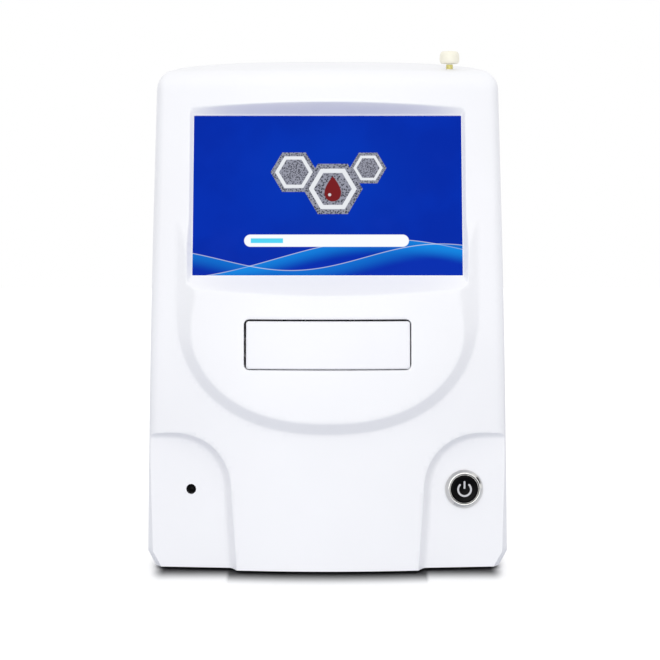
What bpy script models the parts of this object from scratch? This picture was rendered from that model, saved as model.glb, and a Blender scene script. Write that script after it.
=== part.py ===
# Desktop disc analyzer with a motor drawer, a leaning touch screen and a printer in its top.
# Metres, +Z up. The front faces -Y and the origin is on the table, under the middle of the casing.

import math

import bmesh
import bpy
from mathutils import Matrix, Vector

# Casing
casing_width = 0.207
casing_depth = 0.250
casing_height = 0.288
casing_lift = 0.0025
wall = 0.0026
front_bow_radius = 0.340
front_corner = 0.014
back_corner = 0.016
top_rounding = 0.012
top_crown = 0.006
crown_margin = 0.0265
crown_run = 0.035
side_taper = 0.0035
foot_bevel_width = 0.0046
foot_bevel_height = 0.0075
parting_margin = 0.0315
lower_slope = 0.072
upper_slope = 0.268
bend_start = 0.088
bend_drop = 0.080

# Raised panel with a U-shaped edge
panel_rise = 0.0065
panel_side_margin = 0.0170
panel_depth = 0.071
panel_springing = 0.150
panel_fade_start = 0.118
panel_fade_end = 0.200
panel_top = 0.216
panel_exponent = 2.3

# Side pockets at the foot
pocket_foot_reach = 0.0517
pocket_side_reach = 0.0485
pocket_springing = 0.045
pocket_top = 0.0785
pocket_shoulder_margin = 0.0115
pocket_exponent = 2.3
pocket_draft_slope = 0.36
pocket_yaw_angle = 0.11
pocket_middle_margin = 0.0252
pocket_middle_z = 0.0462
pocket_setback = 0.0192

# Clearances
gap = 0.0003
running_gap = 0.0006
overrun = 0.010

# Screen
window_side_margin = 0.02575
window_top_margin = 0.0272
window_foot_margin = 0.0250
window_corner = 0.0015
window_sink = 0.00312
window_lip = 0.0012
window_ledge = 0.0004
recess_depth = 0.020
recess_top_slope = 0.54
recess_bottom_slope = 0.64
recess_side_slope = 0.80
recess_corner_slope = 0.25
glass_margin = 0.004
glass_thickness = 0.0016
glass_corner = 0.003
display_margin = 0.003
display_thickness = 0.0050
bracket_margin = 0.0065
bracket_thickness = 0.0015
board_thickness = 0.0016
display_board_share = 0.64
display_board_standoff = 0.004
display_boss_radius = 0.003

# Drawer
drawer_width = 0.0936
drawer_height = 0.0272
drawer_place_share = 0.4514
drawer_corner = 0.0024
drawer_gap = 0.0007
drawer_front_setback = 0.0125
collar_wall = 0.0022
collar_setback = 0.0135
drawer_travel = 0.105
tray_width = 0.088
tray_drop = 0.0025
tray_thickness = 0.0120
tray_length = 0.1035
arm_width = 0.012
arm_length = 0.066
disc_radius = 0.0420
disc_floor_thickness = 0.0030
disc_middle = 0.064
finger_radius = 0.013
finger_drop = 0.001
hub_slot_width = 0.030
rail_wall = 0.004
rail_length = 0.165
rail_start = 0.0220
tongue_depth = 0.003
tongue_height = 0.006

# Rack and pinion
tooth_module = 0.001
pinion_teeth = 18
tooth_foot_share = 1.25
pressure_angle = 20
rack_height = 0.0040
rack_width = 0.006
rack_side_x = 0.037
rack_lead_teeth = 2
backlash = 0.0001
pinion_setback = 0.034
pinion_width = 0.005
drive_shaft_radius = 0.0015
drive_motor_radius = 0.0080
drive_motor_length = 0.028
drive_plate = 0.0012
drive_plate_width = 0.020
pinion_shaft_length = 0.008

# Chassis
chassis_width = 0.120
chassis_setback = 0.024
chassis_length = 0.160
chassis_leg_setback = 0.020
chassis_leg_length = 0.090
deck_clearance = 0.0245
sheet = 0.0015
chassis_foot_width = 0.012
chassis_window_height = 0.045
chassis_window_length = 0.060

# Spindle and its lift
hub_radius = 0.0115
hub_neck_radius = 0.0072
hub_drop = 0.0030
hub_height = 0.0115
spindle_motor_radius = 0.0140
spindle_motor_height = 0.024
deck_hole_radius = 0.0160
carriage_width = 0.060
carriage_depth = 0.034
carriage_thickness = 0.004
guide_spacing = 0.046
guide_radius = 0.0020
bush_radius = 0.0045
bush_height = 0.010
lift_travel = 0.008
bridge_top = 0.050
bridge_thickness = 0.003
actuator_width = 0.024
actuator_height = 0.026
plunger_radius = 0.0025
plunger_engagement = 0.006

# Optics
optics_width = 0.026
optics_spine = 0.008
optics_arm = 0.012
optics_clearance = 0.003
light_path_radius = 0.0030
light_radius = 0.0070
light_height = 0.014
detector_radius = 0.0055
detector_height = 0.006

# Base
plate_recess = 0.0015
plate_thickness = 0.0015
plate_vent_length = 0.030
plate_vent_width = 0.003
plate_vent_pitch = 0.007
plate_vent_count = 6
foot_radius = 0.009
foot_taper = 0.0015
foot_inset_x = 0.024
foot_inset_front = 0.040
foot_inset_back = 0.026
standoff_height = 0.0060
standoff_radius = 0.0030

# Boards and sockets
board_side_margin = 0.0285
main_board_depth = 0.100
board_setback_from_back = 0.0060
board_hole_inset = 0.006
module_side_gap = 0.0055
module_depth = 0.064
module_height = 0.022
module_setback = 0.066
panel_plate_width = 0.112
panel_plate_height = 0.028
panel_plate_thickness = 0.0012
panel_plate_z = 0.0235
socket_window_margin = 0.003
jack_x = 0.038
jack_radius = 0.0052
jack_bore = 0.0032
jack_pin = 0.0010
jack_body = 0.0125
jack_length = 0.0138
usb_x = -0.004
usb_spacing = 0.018
usb_width = 0.0132
usb_height = 0.0060
usb_wall = 0.0006
usb_length = 0.014
usb_tongue = 0.0018
lan_x = -0.040
lan_width = 0.0160
lan_height = 0.0135
lan_length = 0.0160
lan_mouth_width = 0.0116
lan_mouth_height = 0.0082
lan_mouth_depth = 0.011
socket_clearance = 0.0006

# Power button
button_bezel_radius = 0.0110
button_barrel_radius = 0.0095
button_bezel_height = 0.0022
button_barrel_length = 0.0150
button_bore_radius = 0.0080
button_cap_proud = 0.0006
button_cap_height = 0.0065
button_dish = 0.0006
button_travel = 0.0025
button_hole_clearance = 0.0003
nut_flats = 0.0220
nut_thickness = 0.0030
nut_sides = 6
switch_radius = 0.0074
switch_length = 0.0110

# Small round window
lens_radius = 0.0026
lens_flange_radius = 0.0045
lens_flange = 0.0010
lens_recess = 0.0004

# Pull-out pin
pin_side_margin = 0.0317
pin_front_margin = 0.0230
pin_head_radius = 0.0058
pin_head_height = 0.0078
pin_head_end_share = 0.8
pin_neck = 0.0030
pin_radius = 0.0020
pin_length = 0.080
pin_tip = 0.004
silo_wall = 0.0012
silo_flange_radius = 0.0048
silo_flange = 0.0015

# Fan
fan_size = 0.060
fan_depth = 0.015
fan_bore_radius = 0.0285
fan_hub_radius = 0.0150
fan_blades = 7
fan_blade_angle = 0.55
fan_blade_thickness = 0.0012
fan_spoke = 0.004
fan_spoke_depth = 0.003
fan_z = 0.150
fan_tip_gap = 0.001
fan_root_share = 0.6
fan_tip_share = 0.9
grille_slot = 0.0030
grille_pitch = 0.0062

# Side vents
side_vent_count = 7
side_vent_pitch = 0.008
side_vent_width = 0.003
side_vent_height = 0.030
side_vent_z = 0.085
side_vent_y = 0.060

# Printer
lid_width = 0.0920
lid_length = 0.062
lid_front_margin = 0.0695
lid_thickness = 0.0026
lid_rise = 0.0006
lid_gap = 0.0012
hinge_radius = 0.0030
hinge_bore = 0.00125
hinge_pin_radius = 0.0011
tub_width = 0.070
tub_wall = 0.0018
tub_height = 0.058
tub_flange_depth = 0.005
tub_front = 0.0020
paper_width = 0.057
paper_radius = 0.0210
paper_core_radius = 0.0065
platen_radius = 0.0050
platen_shaft_radius = 0.0014
platen_width = 0.058
platen_ear = 0.0025
platen_drop = 0.0095
platen_inset = 0.0075
head_height = 0.016
head_thickness = 0.006

# Counts of facets, and angles in degrees
front_segments = 6
corner_segments = 3
side_segments = 3
panel_segments = 14
pocket_segments = 8
recess_segments = 40
round_segments = 32
middle_segments = 24
small_segments = 16
pin_segments = 8
arc_segments = 4
smooth_angle = 32
flat_angle = 0.2

# Places worked out from the sizes above
front_y = -casing_depth / 2
back_y = casing_depth / 2
half_width = casing_width / 2
bend_end = casing_height - bend_drop
panel_half_width = half_width - panel_side_margin
panel_foot = panel_springing - panel_depth + panel_rise
pocket_foot_x = half_width - pocket_foot_reach
pocket_side_x = half_width - pocket_side_reach
pocket_shoulder_x = half_width - pocket_shoulder_margin
pocket_middle_x = half_width - pocket_middle_margin
disc_y = front_y + disc_middle
window_tilt = math.atan(upper_slope)
drawer_middle_z = casing_height * drawer_place_share
tongue_middle_z = drawer_middle_z - tray_drop
tray_bottom = tongue_middle_z - tray_thickness / 2
tray_top = tray_bottom + tray_thickness
disc_floor = tray_bottom + disc_floor_thickness
deck_top = tray_bottom - deck_clearance
hub_top = tray_top - hub_drop
window_top_z = casing_height - window_top_margin
window_foot_z = drawer_middle_z + drawer_height / 2 + window_foot_margin
window_middle_z = (window_top_z + window_foot_z) / 2
window_width = casing_width - 2 * window_side_margin
window_height = (window_top_z - window_foot_z) / math.cos(window_tilt)
plate_bottom = casing_lift + plate_recess
plate_top = plate_bottom + plate_thickness


def clear_scene():
    for item in list(bpy.data.objects):
        bpy.data.objects.remove(item, do_unlink=True)


def material(name, color, roughness, metallic=0.0):
    finish = bpy.data.materials.new(name)
    finish.use_nodes = True
    shader = finish.node_tree.nodes["Principled BSDF"]
    shader.inputs["Base Color"].default_value = (*color, 1.0)
    shader.inputs["Roughness"].default_value = roughness
    shader.inputs["Metallic"].default_value = metallic
    finish.diffuse_color = (*color, 1.0)
    return finish


# Mesh helpers

def new_object(name, mesh_data, finish=None, place=None):
    bmesh.ops.recalc_face_normals(mesh_data, faces=mesh_data.faces)
    mesh = bpy.data.meshes.new(name)
    mesh_data.to_mesh(mesh)
    mesh_data.free()
    item = bpy.data.objects.new(name, mesh)
    bpy.context.scene.collection.objects.link(item)
    if finish:
        mesh.materials.append(finish)
    if place:
        item.matrix_world = place
    return item


def combine(target, tool, operation):
    modifier = target.modifiers.new(operation.lower(), "BOOLEAN")
    modifier.operation = operation
    modifier.solver = "EXACT"
    modifier.object = tool
    tool.hide_render = True
    tool.display_type = "WIRE"
    bpy.context.view_layer.update()
    graph = bpy.context.evaluated_depsgraph_get()
    mesh = bpy.data.meshes.new_from_object(target.evaluated_get(graph))
    target.modifiers.remove(modifier)
    old = target.data
    target.data = mesh
    mesh.name = target.name
    bpy.data.meshes.remove(old)
    bpy.data.objects.remove(tool, do_unlink=True)
    return target


def cut(target, *tools):
    for tool in tools:
        combine(target, tool, "DIFFERENCE")
    return target


def join(target, *tools):
    for tool in tools:
        combine(target, tool, "UNION")
    return target


def keep(target, tool):
    return combine(target, tool, "INTERSECT")


def smooth(item):
    item.data.shade_smooth()
    item.data.set_sharp_from_angle(angle=math.radians(smooth_angle))
    return item


def tidy(item):
    # Merges the flat neighbours that the cuts leave behind.
    shape = bmesh.new()
    shape.from_mesh(item.data)
    limit = math.radians(flat_angle)
    bmesh.ops.dissolve_limit(shape, angle_limit=limit, verts=shape.verts, edges=shape.edges)
    bmesh.ops.triangulate(shape, faces=shape.faces)
    shape.to_mesh(item.data)
    shape.free()
    return item


def set_origin(item, x, y, z):
    # Puts a moving piece's origin on the axis of its joint.
    place = Matrix.Translation((x, y, z))
    item.data.transform(place.inverted() @ item.matrix_world)
    item.matrix_world = place
    return item


def box(name, low, high, finish=None):
    shape = bmesh.new()
    bmesh.ops.create_cube(shape, size=1.0)
    size = [top - bottom for bottom, top in zip(low, high)]
    middle = [(bottom + top) / 2 for bottom, top in zip(low, high)]
    bmesh.ops.scale(shape, vec=size, verts=shape.verts)
    bmesh.ops.translate(shape, vec=middle, verts=shape.verts)
    return new_object(name, shape, finish)


def skin(shape, rows, split=False):
    # Faces between closed rows of corners. Twisted faces are split into triangles.
    count = len(rows[0])
    for low, high in zip(rows, rows[1:]):
        for i in range(count):
            j = (i + 1) % count
            if split:
                shape.faces.new((low[i], low[j], high[i]))
                shape.faces.new((low[j], high[j], high[i]))
            else:
                shape.faces.new((low[i], low[j], high[j], high[i]))


def loft(name, loops, finish=None, place=None):
    # Joins closed loops of equal length, one after the other, and fills the first and the last.
    shape = bmesh.new()
    rows = [[shape.verts.new(point) for point in loop] for loop in loops]
    skin(shape, rows)
    shape.faces.new(rows[0])
    shape.faces.new(rows[-1])
    return new_object(name, shape, finish, place)


def prism(name, outline, low, high, axis="Z", finish=None, place=None):
    # Extrudes an outline from low to high along an axis: X takes (y, z), Y takes (x, z), Z takes (x, y).
    def point(u, v, w):
        return {"X": (w, u, v), "Y": (u, w, v), "Z": (u, v, w)}[axis]
    loops = [[point(u, v, w) for u, v in outline] for w in (low, high)]
    return loft(name, loops, finish, place)


def arc(middle, radius, start, end, steps):
    points = []
    for i in range(steps + 1):
        angle = math.radians(start + (end - start) * i / steps)
        points.append((middle[0] + radius * math.cos(angle), middle[1] + radius * math.sin(angle)))
    return points


def circle(radius, steps, middle=(0, 0)):
    return arc(middle, radius, 0, 360 - 360 / steps, steps - 1)


def rounded(width, height, corner, middle=(0, 0), steps=arc_segments):
    x, y = width / 2 - corner, height / 2 - corner
    points = []
    for sx, sy, start in ((1, 1, 0), (-1, 1, 90), (-1, -1, 180), (1, -1, 270)):
        centre = (middle[0] + sx * x, middle[1] + sy * y)
        points += arc(centre, corner, start, start + 90, steps)
    return points


def turned(name, profile, steps, finish=None, place=None):
    # Turns a closed profile of (radius, height) round Z. Points on the axis close the ends.
    shape = bmesh.new()
    rows = []
    for radius, height in profile:
        if radius == 0:
            rows.append([shape.verts.new((0, 0, height))])
        else:
            rows.append([shape.verts.new((x, y, height)) for x, y in circle(radius, steps)])
    closed = profile[0][0] > 0 and profile[-1][0] > 0
    pairs = list(zip(rows, rows[1:])) + ([(rows[-1], rows[0])] if closed else [])
    for low, high in pairs:
        for i in range(steps):
            j = (i + 1) % steps
            if len(low) == 1 and len(high) == 1:
                continue
            if len(low) == 1:
                shape.faces.new((low[0], high[j], high[i]))
            elif len(high) == 1:
                shape.faces.new((low[i], low[j], high[0]))
            else:
                shape.faces.new((low[i], low[j], high[j], high[i]))
    return new_object(name, shape, finish, place)


def cylinder(name, radius, low, high, steps=small_segments, finish=None, place=None):
    return prism(name, circle(radius, steps), low, high, "Z", finish, place)


def at(x, y, z):
    return Matrix.Translation((x, y, z))


along_x = Matrix.Rotation(math.pi / 2, 4, "Y")
along_y = Matrix.Rotation(-math.pi / 2, 4, "X")

# Forms of the casing. An inset moves every outer face inwards, so the same forms make the hollow.

def blend(share):
    share = min(max(share, 0.0), 1.0)
    return share * share * (3 - 2 * share)


def bow(x, inset=0.0):
    radius = front_bow_radius - inset
    return radius - math.sqrt(radius * radius - x * x)


def body_setback(z):
    # The lower body leans a little, bends, and then leans as much as the screen.
    bend = bend_end - bend_start
    above = min(max(z - bend_start, 0.0), bend)
    beyond = max(z - bend_end, 0.0)
    extra = (upper_slope - lower_slope) * (above * above / (2 * bend) + beyond)
    return panel_rise + lower_slope * (z - panel_foot) + extra


top_front = front_y + body_setback(casing_height)
parting_y = top_front + parting_margin


def panel_proud(z):
    share = max(z - panel_fade_start, 0.0) / (panel_fade_end - panel_fade_start)
    return panel_rise * (1 - share * share)


def crown(x, y):
    across = 1 - (x / half_width) ** 2
    return top_crown * across * blend((y - top_front - crown_margin) / crown_run)


def body_half_width(z):
    bevel_top = casing_lift + foot_bevel_height
    if z < bevel_top:
        return half_width - foot_bevel_width * (bevel_top - z) / foot_bevel_height
    return half_width - side_taper * (z - bevel_top) / (casing_height - bevel_top)


def section(z, inset, shrink=0.0, rise_share=0.0):
    # One level outline of the body, anticlockwise from the middle of the front.
    half = body_half_width(z) - inset - shrink
    front = front_y + body_setback(z) + inset + shrink
    back = back_y - inset - shrink
    radius = front_bow_radius - inset - shrink
    corner = front_corner - inset - shrink
    rear_corner = back_corner - inset - shrink
    turn = math.asin((half - corner) / (radius - corner))
    right = []
    for i in range(front_segments + 1):
        angle = turn * i / front_segments
        right.append((radius * math.sin(angle), front + radius - radius * math.cos(angle)))
    corner_y = front + radius - (radius - corner) * math.cos(turn)
    start = math.degrees(turn) - 90
    right += arc((half - corner, corner_y), corner, start, 0, corner_segments)[1:]
    rear_y = back - rear_corner
    for i in range(1, side_segments + 1):
        right.append((half, corner_y + (rear_y - corner_y) * i / side_segments))
    right += arc((half - rear_corner, rear_y), rear_corner, 0, 90, corner_segments)[1:]
    for i in range(1, front_segments):
        right.append(((half - rear_corner) * (1 - i / front_segments), back))
    right.append((0.0, back))
    left = [(-x, y) for x, y in right[-2:0:-1]]
    return [(x, y, z + rise_share * crown(x, y)) for x, y in right + left]


def body_form(name, inset, bottom=casing_lift):
    # Level outlines up the body, the rounded top edge, and a crowned top made of strips.
    top_edge = casing_height - top_rounding
    bevel_top = casing_lift + foot_bevel_height
    levels = [casing_lift, bevel_top, bend_start, panel_fade_start]
    bend_share = (0.33, 0.67, 1.0)
    levels += [panel_fade_start + (bend_end - panel_fade_start) * share for share in bend_share]
    levels += [(bend_end + top_edge) / 2, top_edge]
    loops = [section(z, inset) for z in levels]
    if bottom < casing_lift:
        loops = [[(x, y, bottom) for x, y, z in loops[0]]] + loops
    for i in range(1, arc_segments + 1):
        angle = math.pi / 2 * i / arc_segments
        shrink = (top_rounding - inset) * (1 - math.cos(angle))
        level = top_edge + (top_rounding - inset) * math.sin(angle)
        loops.append(section(level, inset, shrink, blend(i / arc_segments)))
    shape = bmesh.new()
    rows = [[shape.verts.new(point) for point in loop] for loop in loops]
    skin(shape, rows, split=True)
    shape.faces.new(rows[0])
    crowned_cap(shape, rows[-1], inset)
    return new_object(name, shape)


def crowned_cap(shape, ring, inset):
    # Rows across the top, from the front arc to the straight back, with the crown's rise.
    steps = 2 * front_segments
    top = casing_height - inset
    rows = [[ring[i] for i in range(-front_segments, front_segments + 1)]]
    reach = len(ring) // 2
    for i in range(front_segments + 1, reach - front_segments):
        start, end = ring[-i], ring[i]
        row = [start]
        for k in range(1, steps):
            x = start.co.x + (end.co.x - start.co.x) * k / steps
            row.append(shape.verts.new((x, end.co.y, top + crown(x, end.co.y))))
        rows.append(row + [end])
    rows.append([ring[i] for i in range(reach + front_segments, reach - front_segments - 1, -1)])
    for near, far in zip(rows, rows[1:]):
        for k in range(steps):
            shape.faces.new((near[k], near[k + 1], far[k + 1]))
            shape.faces.new((near[k], far[k + 1], far[k]))


def panel_outline(inset):
    # The outer line of the U, from the top left down, round the foot and up, with inward normals.
    across = panel_half_width - inset
    deep = panel_depth - inset
    steps = panel_segments
    top = panel_top + overrun
    points = [(-across, top), (-across, (top + panel_springing) / 2)]
    for i in range(2 * steps + 1):
        angle = math.pi * i / (2 * steps)
        swing, drop = math.cos(angle), math.sin(angle)
        x = -math.copysign(abs(swing) ** (2 / panel_exponent), swing) * across
        points.append((x, panel_springing - deep * drop ** (2 / panel_exponent)))
    points += [(across, (top + panel_springing) / 2), (across, top)]
    normals = []
    for i in range(len(points)):
        before = points[max(i - 1, 0)]
        after = points[min(i + 1, len(points) - 1)]
        along = Vector((after[0] - before[0], after[1] - before[1])).normalized()
        normals.append((-along.y, along.x))
    return points, normals


def panel_form(name, inset):
    # The proud panel: its own leaning front, trimmed by a U whose edge slopes at 45 degrees.
    reach = panel_half_width + panel_rise
    back = front_y + body_setback(panel_top) + bow(reach) + overrun
    levels = [panel_springing - panel_depth - overrun, panel_foot, panel_fade_start, panel_springing]
    levels += [(panel_springing + panel_fade_end) / 2, panel_fade_end, panel_top - inset]
    loops = []
    for z in levels:
        y = front_y + body_setback(z) - panel_proud(z) + inset
        row = []
        for i in range(-front_segments, front_segments + 1):
            x = reach * i / front_segments
            row.append((x, y + bow(x, inset), z))
        loops.append(row + [(reach, back, z), (-reach, back, z)])
    slab = loft(name, loops)
    points, normals = panel_outline(inset)
    slope = math.sqrt(0.5)
    ahead = (panel_rise + overrun) / slope
    behind = overrun
    inner, outer = [], []
    for (x, z), (nx, nz) in zip(points, normals):
        y = front_y + body_setback(z) + bow(x, inset) + inset
        inner.append((x + nx * ahead * slope, y - ahead * slope, z + nz * ahead * slope))
        outer.append((x - nx * behind * slope, y + behind * slope, z - nz * behind * slope))
    front_loop = [(x, front_y - 2 * overrun, z) for x, y, z in inner]
    back_loop = [(x, back + overrun, z) for x, y, z in outer]
    shape = bmesh.new()
    rows = [[shape.verts.new(point) for point in loop] for loop in (back_loop, outer, inner, front_loop)]
    skin(shape, rows, split=True)
    shape.faces.new(rows[0])
    shape.faces.new(rows[-1])
    return keep(slab, new_object("panel_trim", shape))


def pocket_outline(grow):
    foot_x, side_x = pocket_foot_x - grow, pocket_side_x - grow
    top = pocket_top + grow
    across = pocket_shoulder_x - side_x
    rise = top - pocket_springing
    outer_x = half_width + overrun
    below = -overrun
    foot_lean = (side_x - foot_x) / pocket_springing
    points = [(outer_x, below), (foot_x + foot_lean * below, below), (side_x, pocket_springing)]
    for i in range(1, pocket_segments):
        angle = math.pi / 2 * i / pocket_segments
        x = pocket_shoulder_x - across * math.cos(angle) ** (2 / pocket_exponent)
        points.append((x, pocket_springing + rise * math.sin(angle) ** (2 / pocket_exponent)))
    return points + [(pocket_shoulder_x, top), (outer_x, top)]


def pocket_y(x, z):
    lean = lower_slope * (z - pocket_middle_z)
    return front_y + pocket_setback + math.tan(pocket_yaw_angle) * (x - pocket_middle_x) + lean


def pocket_form(name, side, inset):
    # A pocket's flat floor and its sloping wall, on one side of the foot.
    grow = pocket_draft_slope * (pocket_setback + overrun)
    floor = [(side * x, pocket_y(x, z) + inset, z) for x, z in pocket_outline(inset)]
    mouth = [(side * x, front_y - overrun, z) for x, z in pocket_outline(inset + grow)]
    return loft(name, [floor, mouth])


def window_frame():
    # Local X is across the screen, Y is up it and Z is out of it. It lies behind the bowed front's ends.
    turn = Matrix.Rotation(math.pi / 2 - window_tilt, 4, "X")
    setback = body_setback(window_middle_z) + bow(window_width / 2) + window_sink
    return at(0, front_y + setback, window_middle_z) @ turn


def flared(width, height, corner, depth):
    top, bottom = recess_top_slope * depth, recess_bottom_slope * depth
    side = recess_side_slope * depth
    middle = (0, (top - bottom) / 2)
    corner += recess_corner_slope * depth
    return rounded(width + 2 * side, height + top + bottom, corner, middle)


def recess_form(name):
    # The cut in front of the screen: the window at its floor, flared walls up to the outside.
    loops = []
    for depth in (0.0, recess_depth):
        width, height = window_width + 2 * window_ledge, window_height + 2 * window_ledge
        outline = flared(width, height, window_corner + window_ledge, depth)
        loops.append([(x, y, depth) for x, y in outline])
    return loft(name, loops, place=window_frame())


def tub_block(name):
    # What stays solid round that cut: a flared wall and a rim that holds the cover glass.
    margin = glass_margin + gap + wall
    back = -(window_lip + gap + glass_thickness)
    loops = []
    for depth in (back, 0.0, recess_depth):
        width, height = window_width + 2 * margin, window_height + 2 * margin
        outline = flared(width, height, window_corner + margin, max(depth, 0.0))
        loops.append([(x, y, depth) for x, y in outline])
    return loft(name, loops, place=window_frame())


def doorway_outline(margin):
    middle = (0, drawer_middle_z)
    return rounded(drawer_width + 2 * margin, drawer_height + 2 * margin, drawer_corner + margin, middle)


def doorway(name, margin, back):
    return prism(name, doorway_outline(margin), front_y - overrun, back, "Y")


def casing_form(name, inset, bottom=casing_lift):
    # The whole outer form, or with an inset the hollow inside it.
    form = body_form(name, inset, bottom)
    join(form, panel_form("panel", inset))
    for side in (-1, 1):
        cut(form, pocket_form("pocket", side, inset))
    return form


def casing_shell(name):
    form = casing_form(name, 0.0)
    hollow = casing_form("hollow", wall, -overrun)
    cut(hollow, tub_block("tub_block"))
    cut(hollow, doorway("collar", drawer_gap + collar_wall, front_y + collar_setback))
    cut(form, hollow)
    return cut(form, recess_form("recess"))


clear_scene()

# Finishes
white = material("white_housing", (0.88, 0.88, 0.90), 0.42)
white_front = material("white_drawer", (0.89, 0.89, 0.91), 0.40)
black_glass = material("screen_glass", (0.02, 0.05, 0.20), 0.08)
dark_panel = material("display_panel", (0.05, 0.05, 0.06), 0.5)
steel = material("sheet_steel", (0.62, 0.63, 0.65), 0.38, 0.9)
polished = material("polished_ring", (0.72, 0.72, 0.74), 0.18, 1.0)
black_cap = material("black_cap", (0.025, 0.025, 0.028), 0.35)
black_plastic = material("black_plastic", (0.04, 0.04, 0.045), 0.5)
ivory = material("ivory_knob", (0.90, 0.86, 0.72), 0.45)
ochre = material("yellow_stem", (0.62, 0.52, 0.16), 0.45)
acetal = material("white_acetal", (0.86, 0.86, 0.84), 0.4)
grey_plastic = material("grey_plastic", (0.35, 0.36, 0.38), 0.5)
brass = material("brass", (0.72, 0.56, 0.28), 0.35, 1.0)
board_green = material("board_green", (0.03, 0.22, 0.10), 0.45)
rubber = material("rubber", (0.03, 0.03, 0.03), 0.85)
paper = material("paper", (0.93, 0.93, 0.90), 0.8)


# Places on the casing
pocket_normal = Vector((math.tan(pocket_yaw_angle), -1, lower_slope)).normalized()
button_middle = (pocket_middle_x, pocket_y(pocket_middle_x, pocket_middle_z), pocket_middle_z)
lens_middle = (-pocket_middle_x, button_middle[1], pocket_middle_z)
pin_x = half_width - pin_side_margin
pin_y = top_front + pin_front_margin
pin_surface = casing_height + crown(pin_x, pin_y)
lid_front = top_front + lid_front_margin
lid_back = lid_front + lid_length
tub_x = tub_width / 2
hinge_y = lid_back - hinge_radius
hinge_z = casing_height + crown(tub_x, hinge_y) + lid_rise - hinge_radius


def facing(middle, side):
    # Local Z points out of a pocket's floor at a place on it.
    normal = Vector((side * pocket_normal.x, pocket_normal.y, pocket_normal.z))
    return at(*middle) @ normal.to_track_quat("Z", "Y").to_matrix().to_4x4()


button_frame = facing(button_middle, 1)
lens_frame = facing(lens_middle, -1)


# Covers

def front_cover():
    cover = casing_shell("front_cover")
    cover.data.materials.append(white)
    high = 2 * casing_height
    cut(cover, box("behind", (-casing_width, parting_y, -overrun), (casing_width, casing_depth, high)))
    rebate = glass_margin + gap
    back = -(window_lip + gap + glass_thickness + overrun)
    shape = rounded(window_width + 2 * rebate, window_height + 2 * rebate, glass_corner)
    cut(cover, prism("rebate", shape, back, -window_lip, "Z", place=window_frame()))
    opening = rounded(window_width, window_height, window_corner)
    cut(cover, prism("window", opening, back, gap, "Z", place=window_frame()))
    cut(cover, doorway("doorway", drawer_gap, front_y + collar_setback + overrun))
    hole = button_barrel_radius + button_hole_clearance
    cut(cover, cylinder("button_hole", hole, -overrun, overrun, round_segments, place=button_frame))
    hole = lens_radius + button_hole_clearance
    cut(cover, cylinder("lens_hole", hole, -overrun, overrun, small_segments, place=lens_frame))
    hole = pin_radius + silo_wall + gap
    low, high = pin_surface - top_rounding, pin_surface + overrun
    cut(cover, cylinder("pin_hole", hole, low, high, small_segments, place=at(pin_x, pin_y, 0)))
    return smooth(tidy(cover))


def grille(name, x, z, radius):
    # Upright slots that together fill a round field on the back.
    slots = []
    count = int(radius / grille_pitch)
    for i in range(-count, count + 1):
        half = math.sqrt(radius * radius - (i * grille_pitch) ** 2) - grille_slot
        outline = rounded(grille_slot, 2 * half, grille_slot / 2 - gap, (x + i * grille_pitch, z), 2)
        slots.append(prism(name, outline, back_y - 2 * wall, back_y + overrun, "Y"))
    return slots


def rear_cover():
    cover = casing_shell("rear_cover")
    cover.data.materials.append(white)
    high = (casing_width, parting_y + gap, 2 * casing_height)
    cut(cover, box("ahead", (-casing_width, -casing_depth, -overrun), high))
    cut(cover, *grille("fan_slot", 0, fan_z, fan_bore_radius))
    width = panel_plate_width - 2 * socket_window_margin
    height = panel_plate_height - 2 * socket_window_margin
    opening = rounded(width, height, socket_window_margin / 2, (0, panel_plate_z))
    cut(cover, prism("socket_window", opening, back_y - 2 * wall, back_y + overrun, "Y"))
    for side in (-1, 1):
        for i in range(side_vent_count):
            y = side_vent_y + side_vent_pitch * (i - (side_vent_count - 1) / 2)
            corner = side_vent_width / 2 - gap
            outline = rounded(side_vent_width, side_vent_height, corner, (y, side_vent_z), 2)
            reach = sorted((side * (half_width - 4 * wall), side * (half_width + overrun)))
            cut(cover, prism("side_vent", outline, reach[0], reach[1], "X"))
    x = lid_width / 2 + lid_gap
    low = (-x, lid_front - lid_gap, casing_height - top_rounding)
    high = (x, lid_back + lid_gap, casing_height + overrun)
    cut(cover, box("lid_opening", low, high))
    return smooth(tidy(cover))


def base_plate():
    inset = wall + gap
    plate = body_form("base_plate", inset, -overrun)
    plate.data.materials.append(steel)
    for side in (-1, 1):
        cut(plate, pocket_form("pocket", side, inset))
    low = (-casing_width, -casing_depth, plate_bottom)
    keep(plate, box("slab", low, (casing_width, casing_depth, plate_top)))
    for i in range(plate_vent_count):
        x = plate_vent_pitch * (i - (plate_vent_count - 1) / 2)
        outline = rounded(plate_vent_width, plate_vent_length, plate_vent_width / 2 - gap, (x, 0), 2)
        cut(plate, prism("plate_vent", outline, plate_bottom - overrun, plate_top + overrun))
    for x, y in board_corners():
        join(plate, cylinder("standoff", standoff_radius, plate_top - plate_thickness / 2,
                             plate_top + standoff_height, place=at(x, y, 0)))
    return tidy(plate)


def board_corners():
    x = half_width - board_side_margin - board_hole_inset
    back = back_y - board_setback_from_back - board_hole_inset
    front = back_y - board_setback_from_back - main_board_depth + board_hole_inset
    return [(-x, front), (x, front), (-x, back), (x, back)]


def feet():
    x = half_width - foot_inset_x
    spots = {"front": front_y + foot_inset_front, "rear": back_y - foot_inset_back}
    for end, y in spots.items():
        for side, word in ((-1, "left"), (1, "right")):
            top = plate_bottom - gap
            profile = [(0, 0), (foot_radius - foot_taper, 0), (foot_radius, top), (0, top)]
            smooth(turned(f"foot_{end}_{word}", profile, middle_segments, rubber, at(side * x, y, 0)))


# Screen

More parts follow.
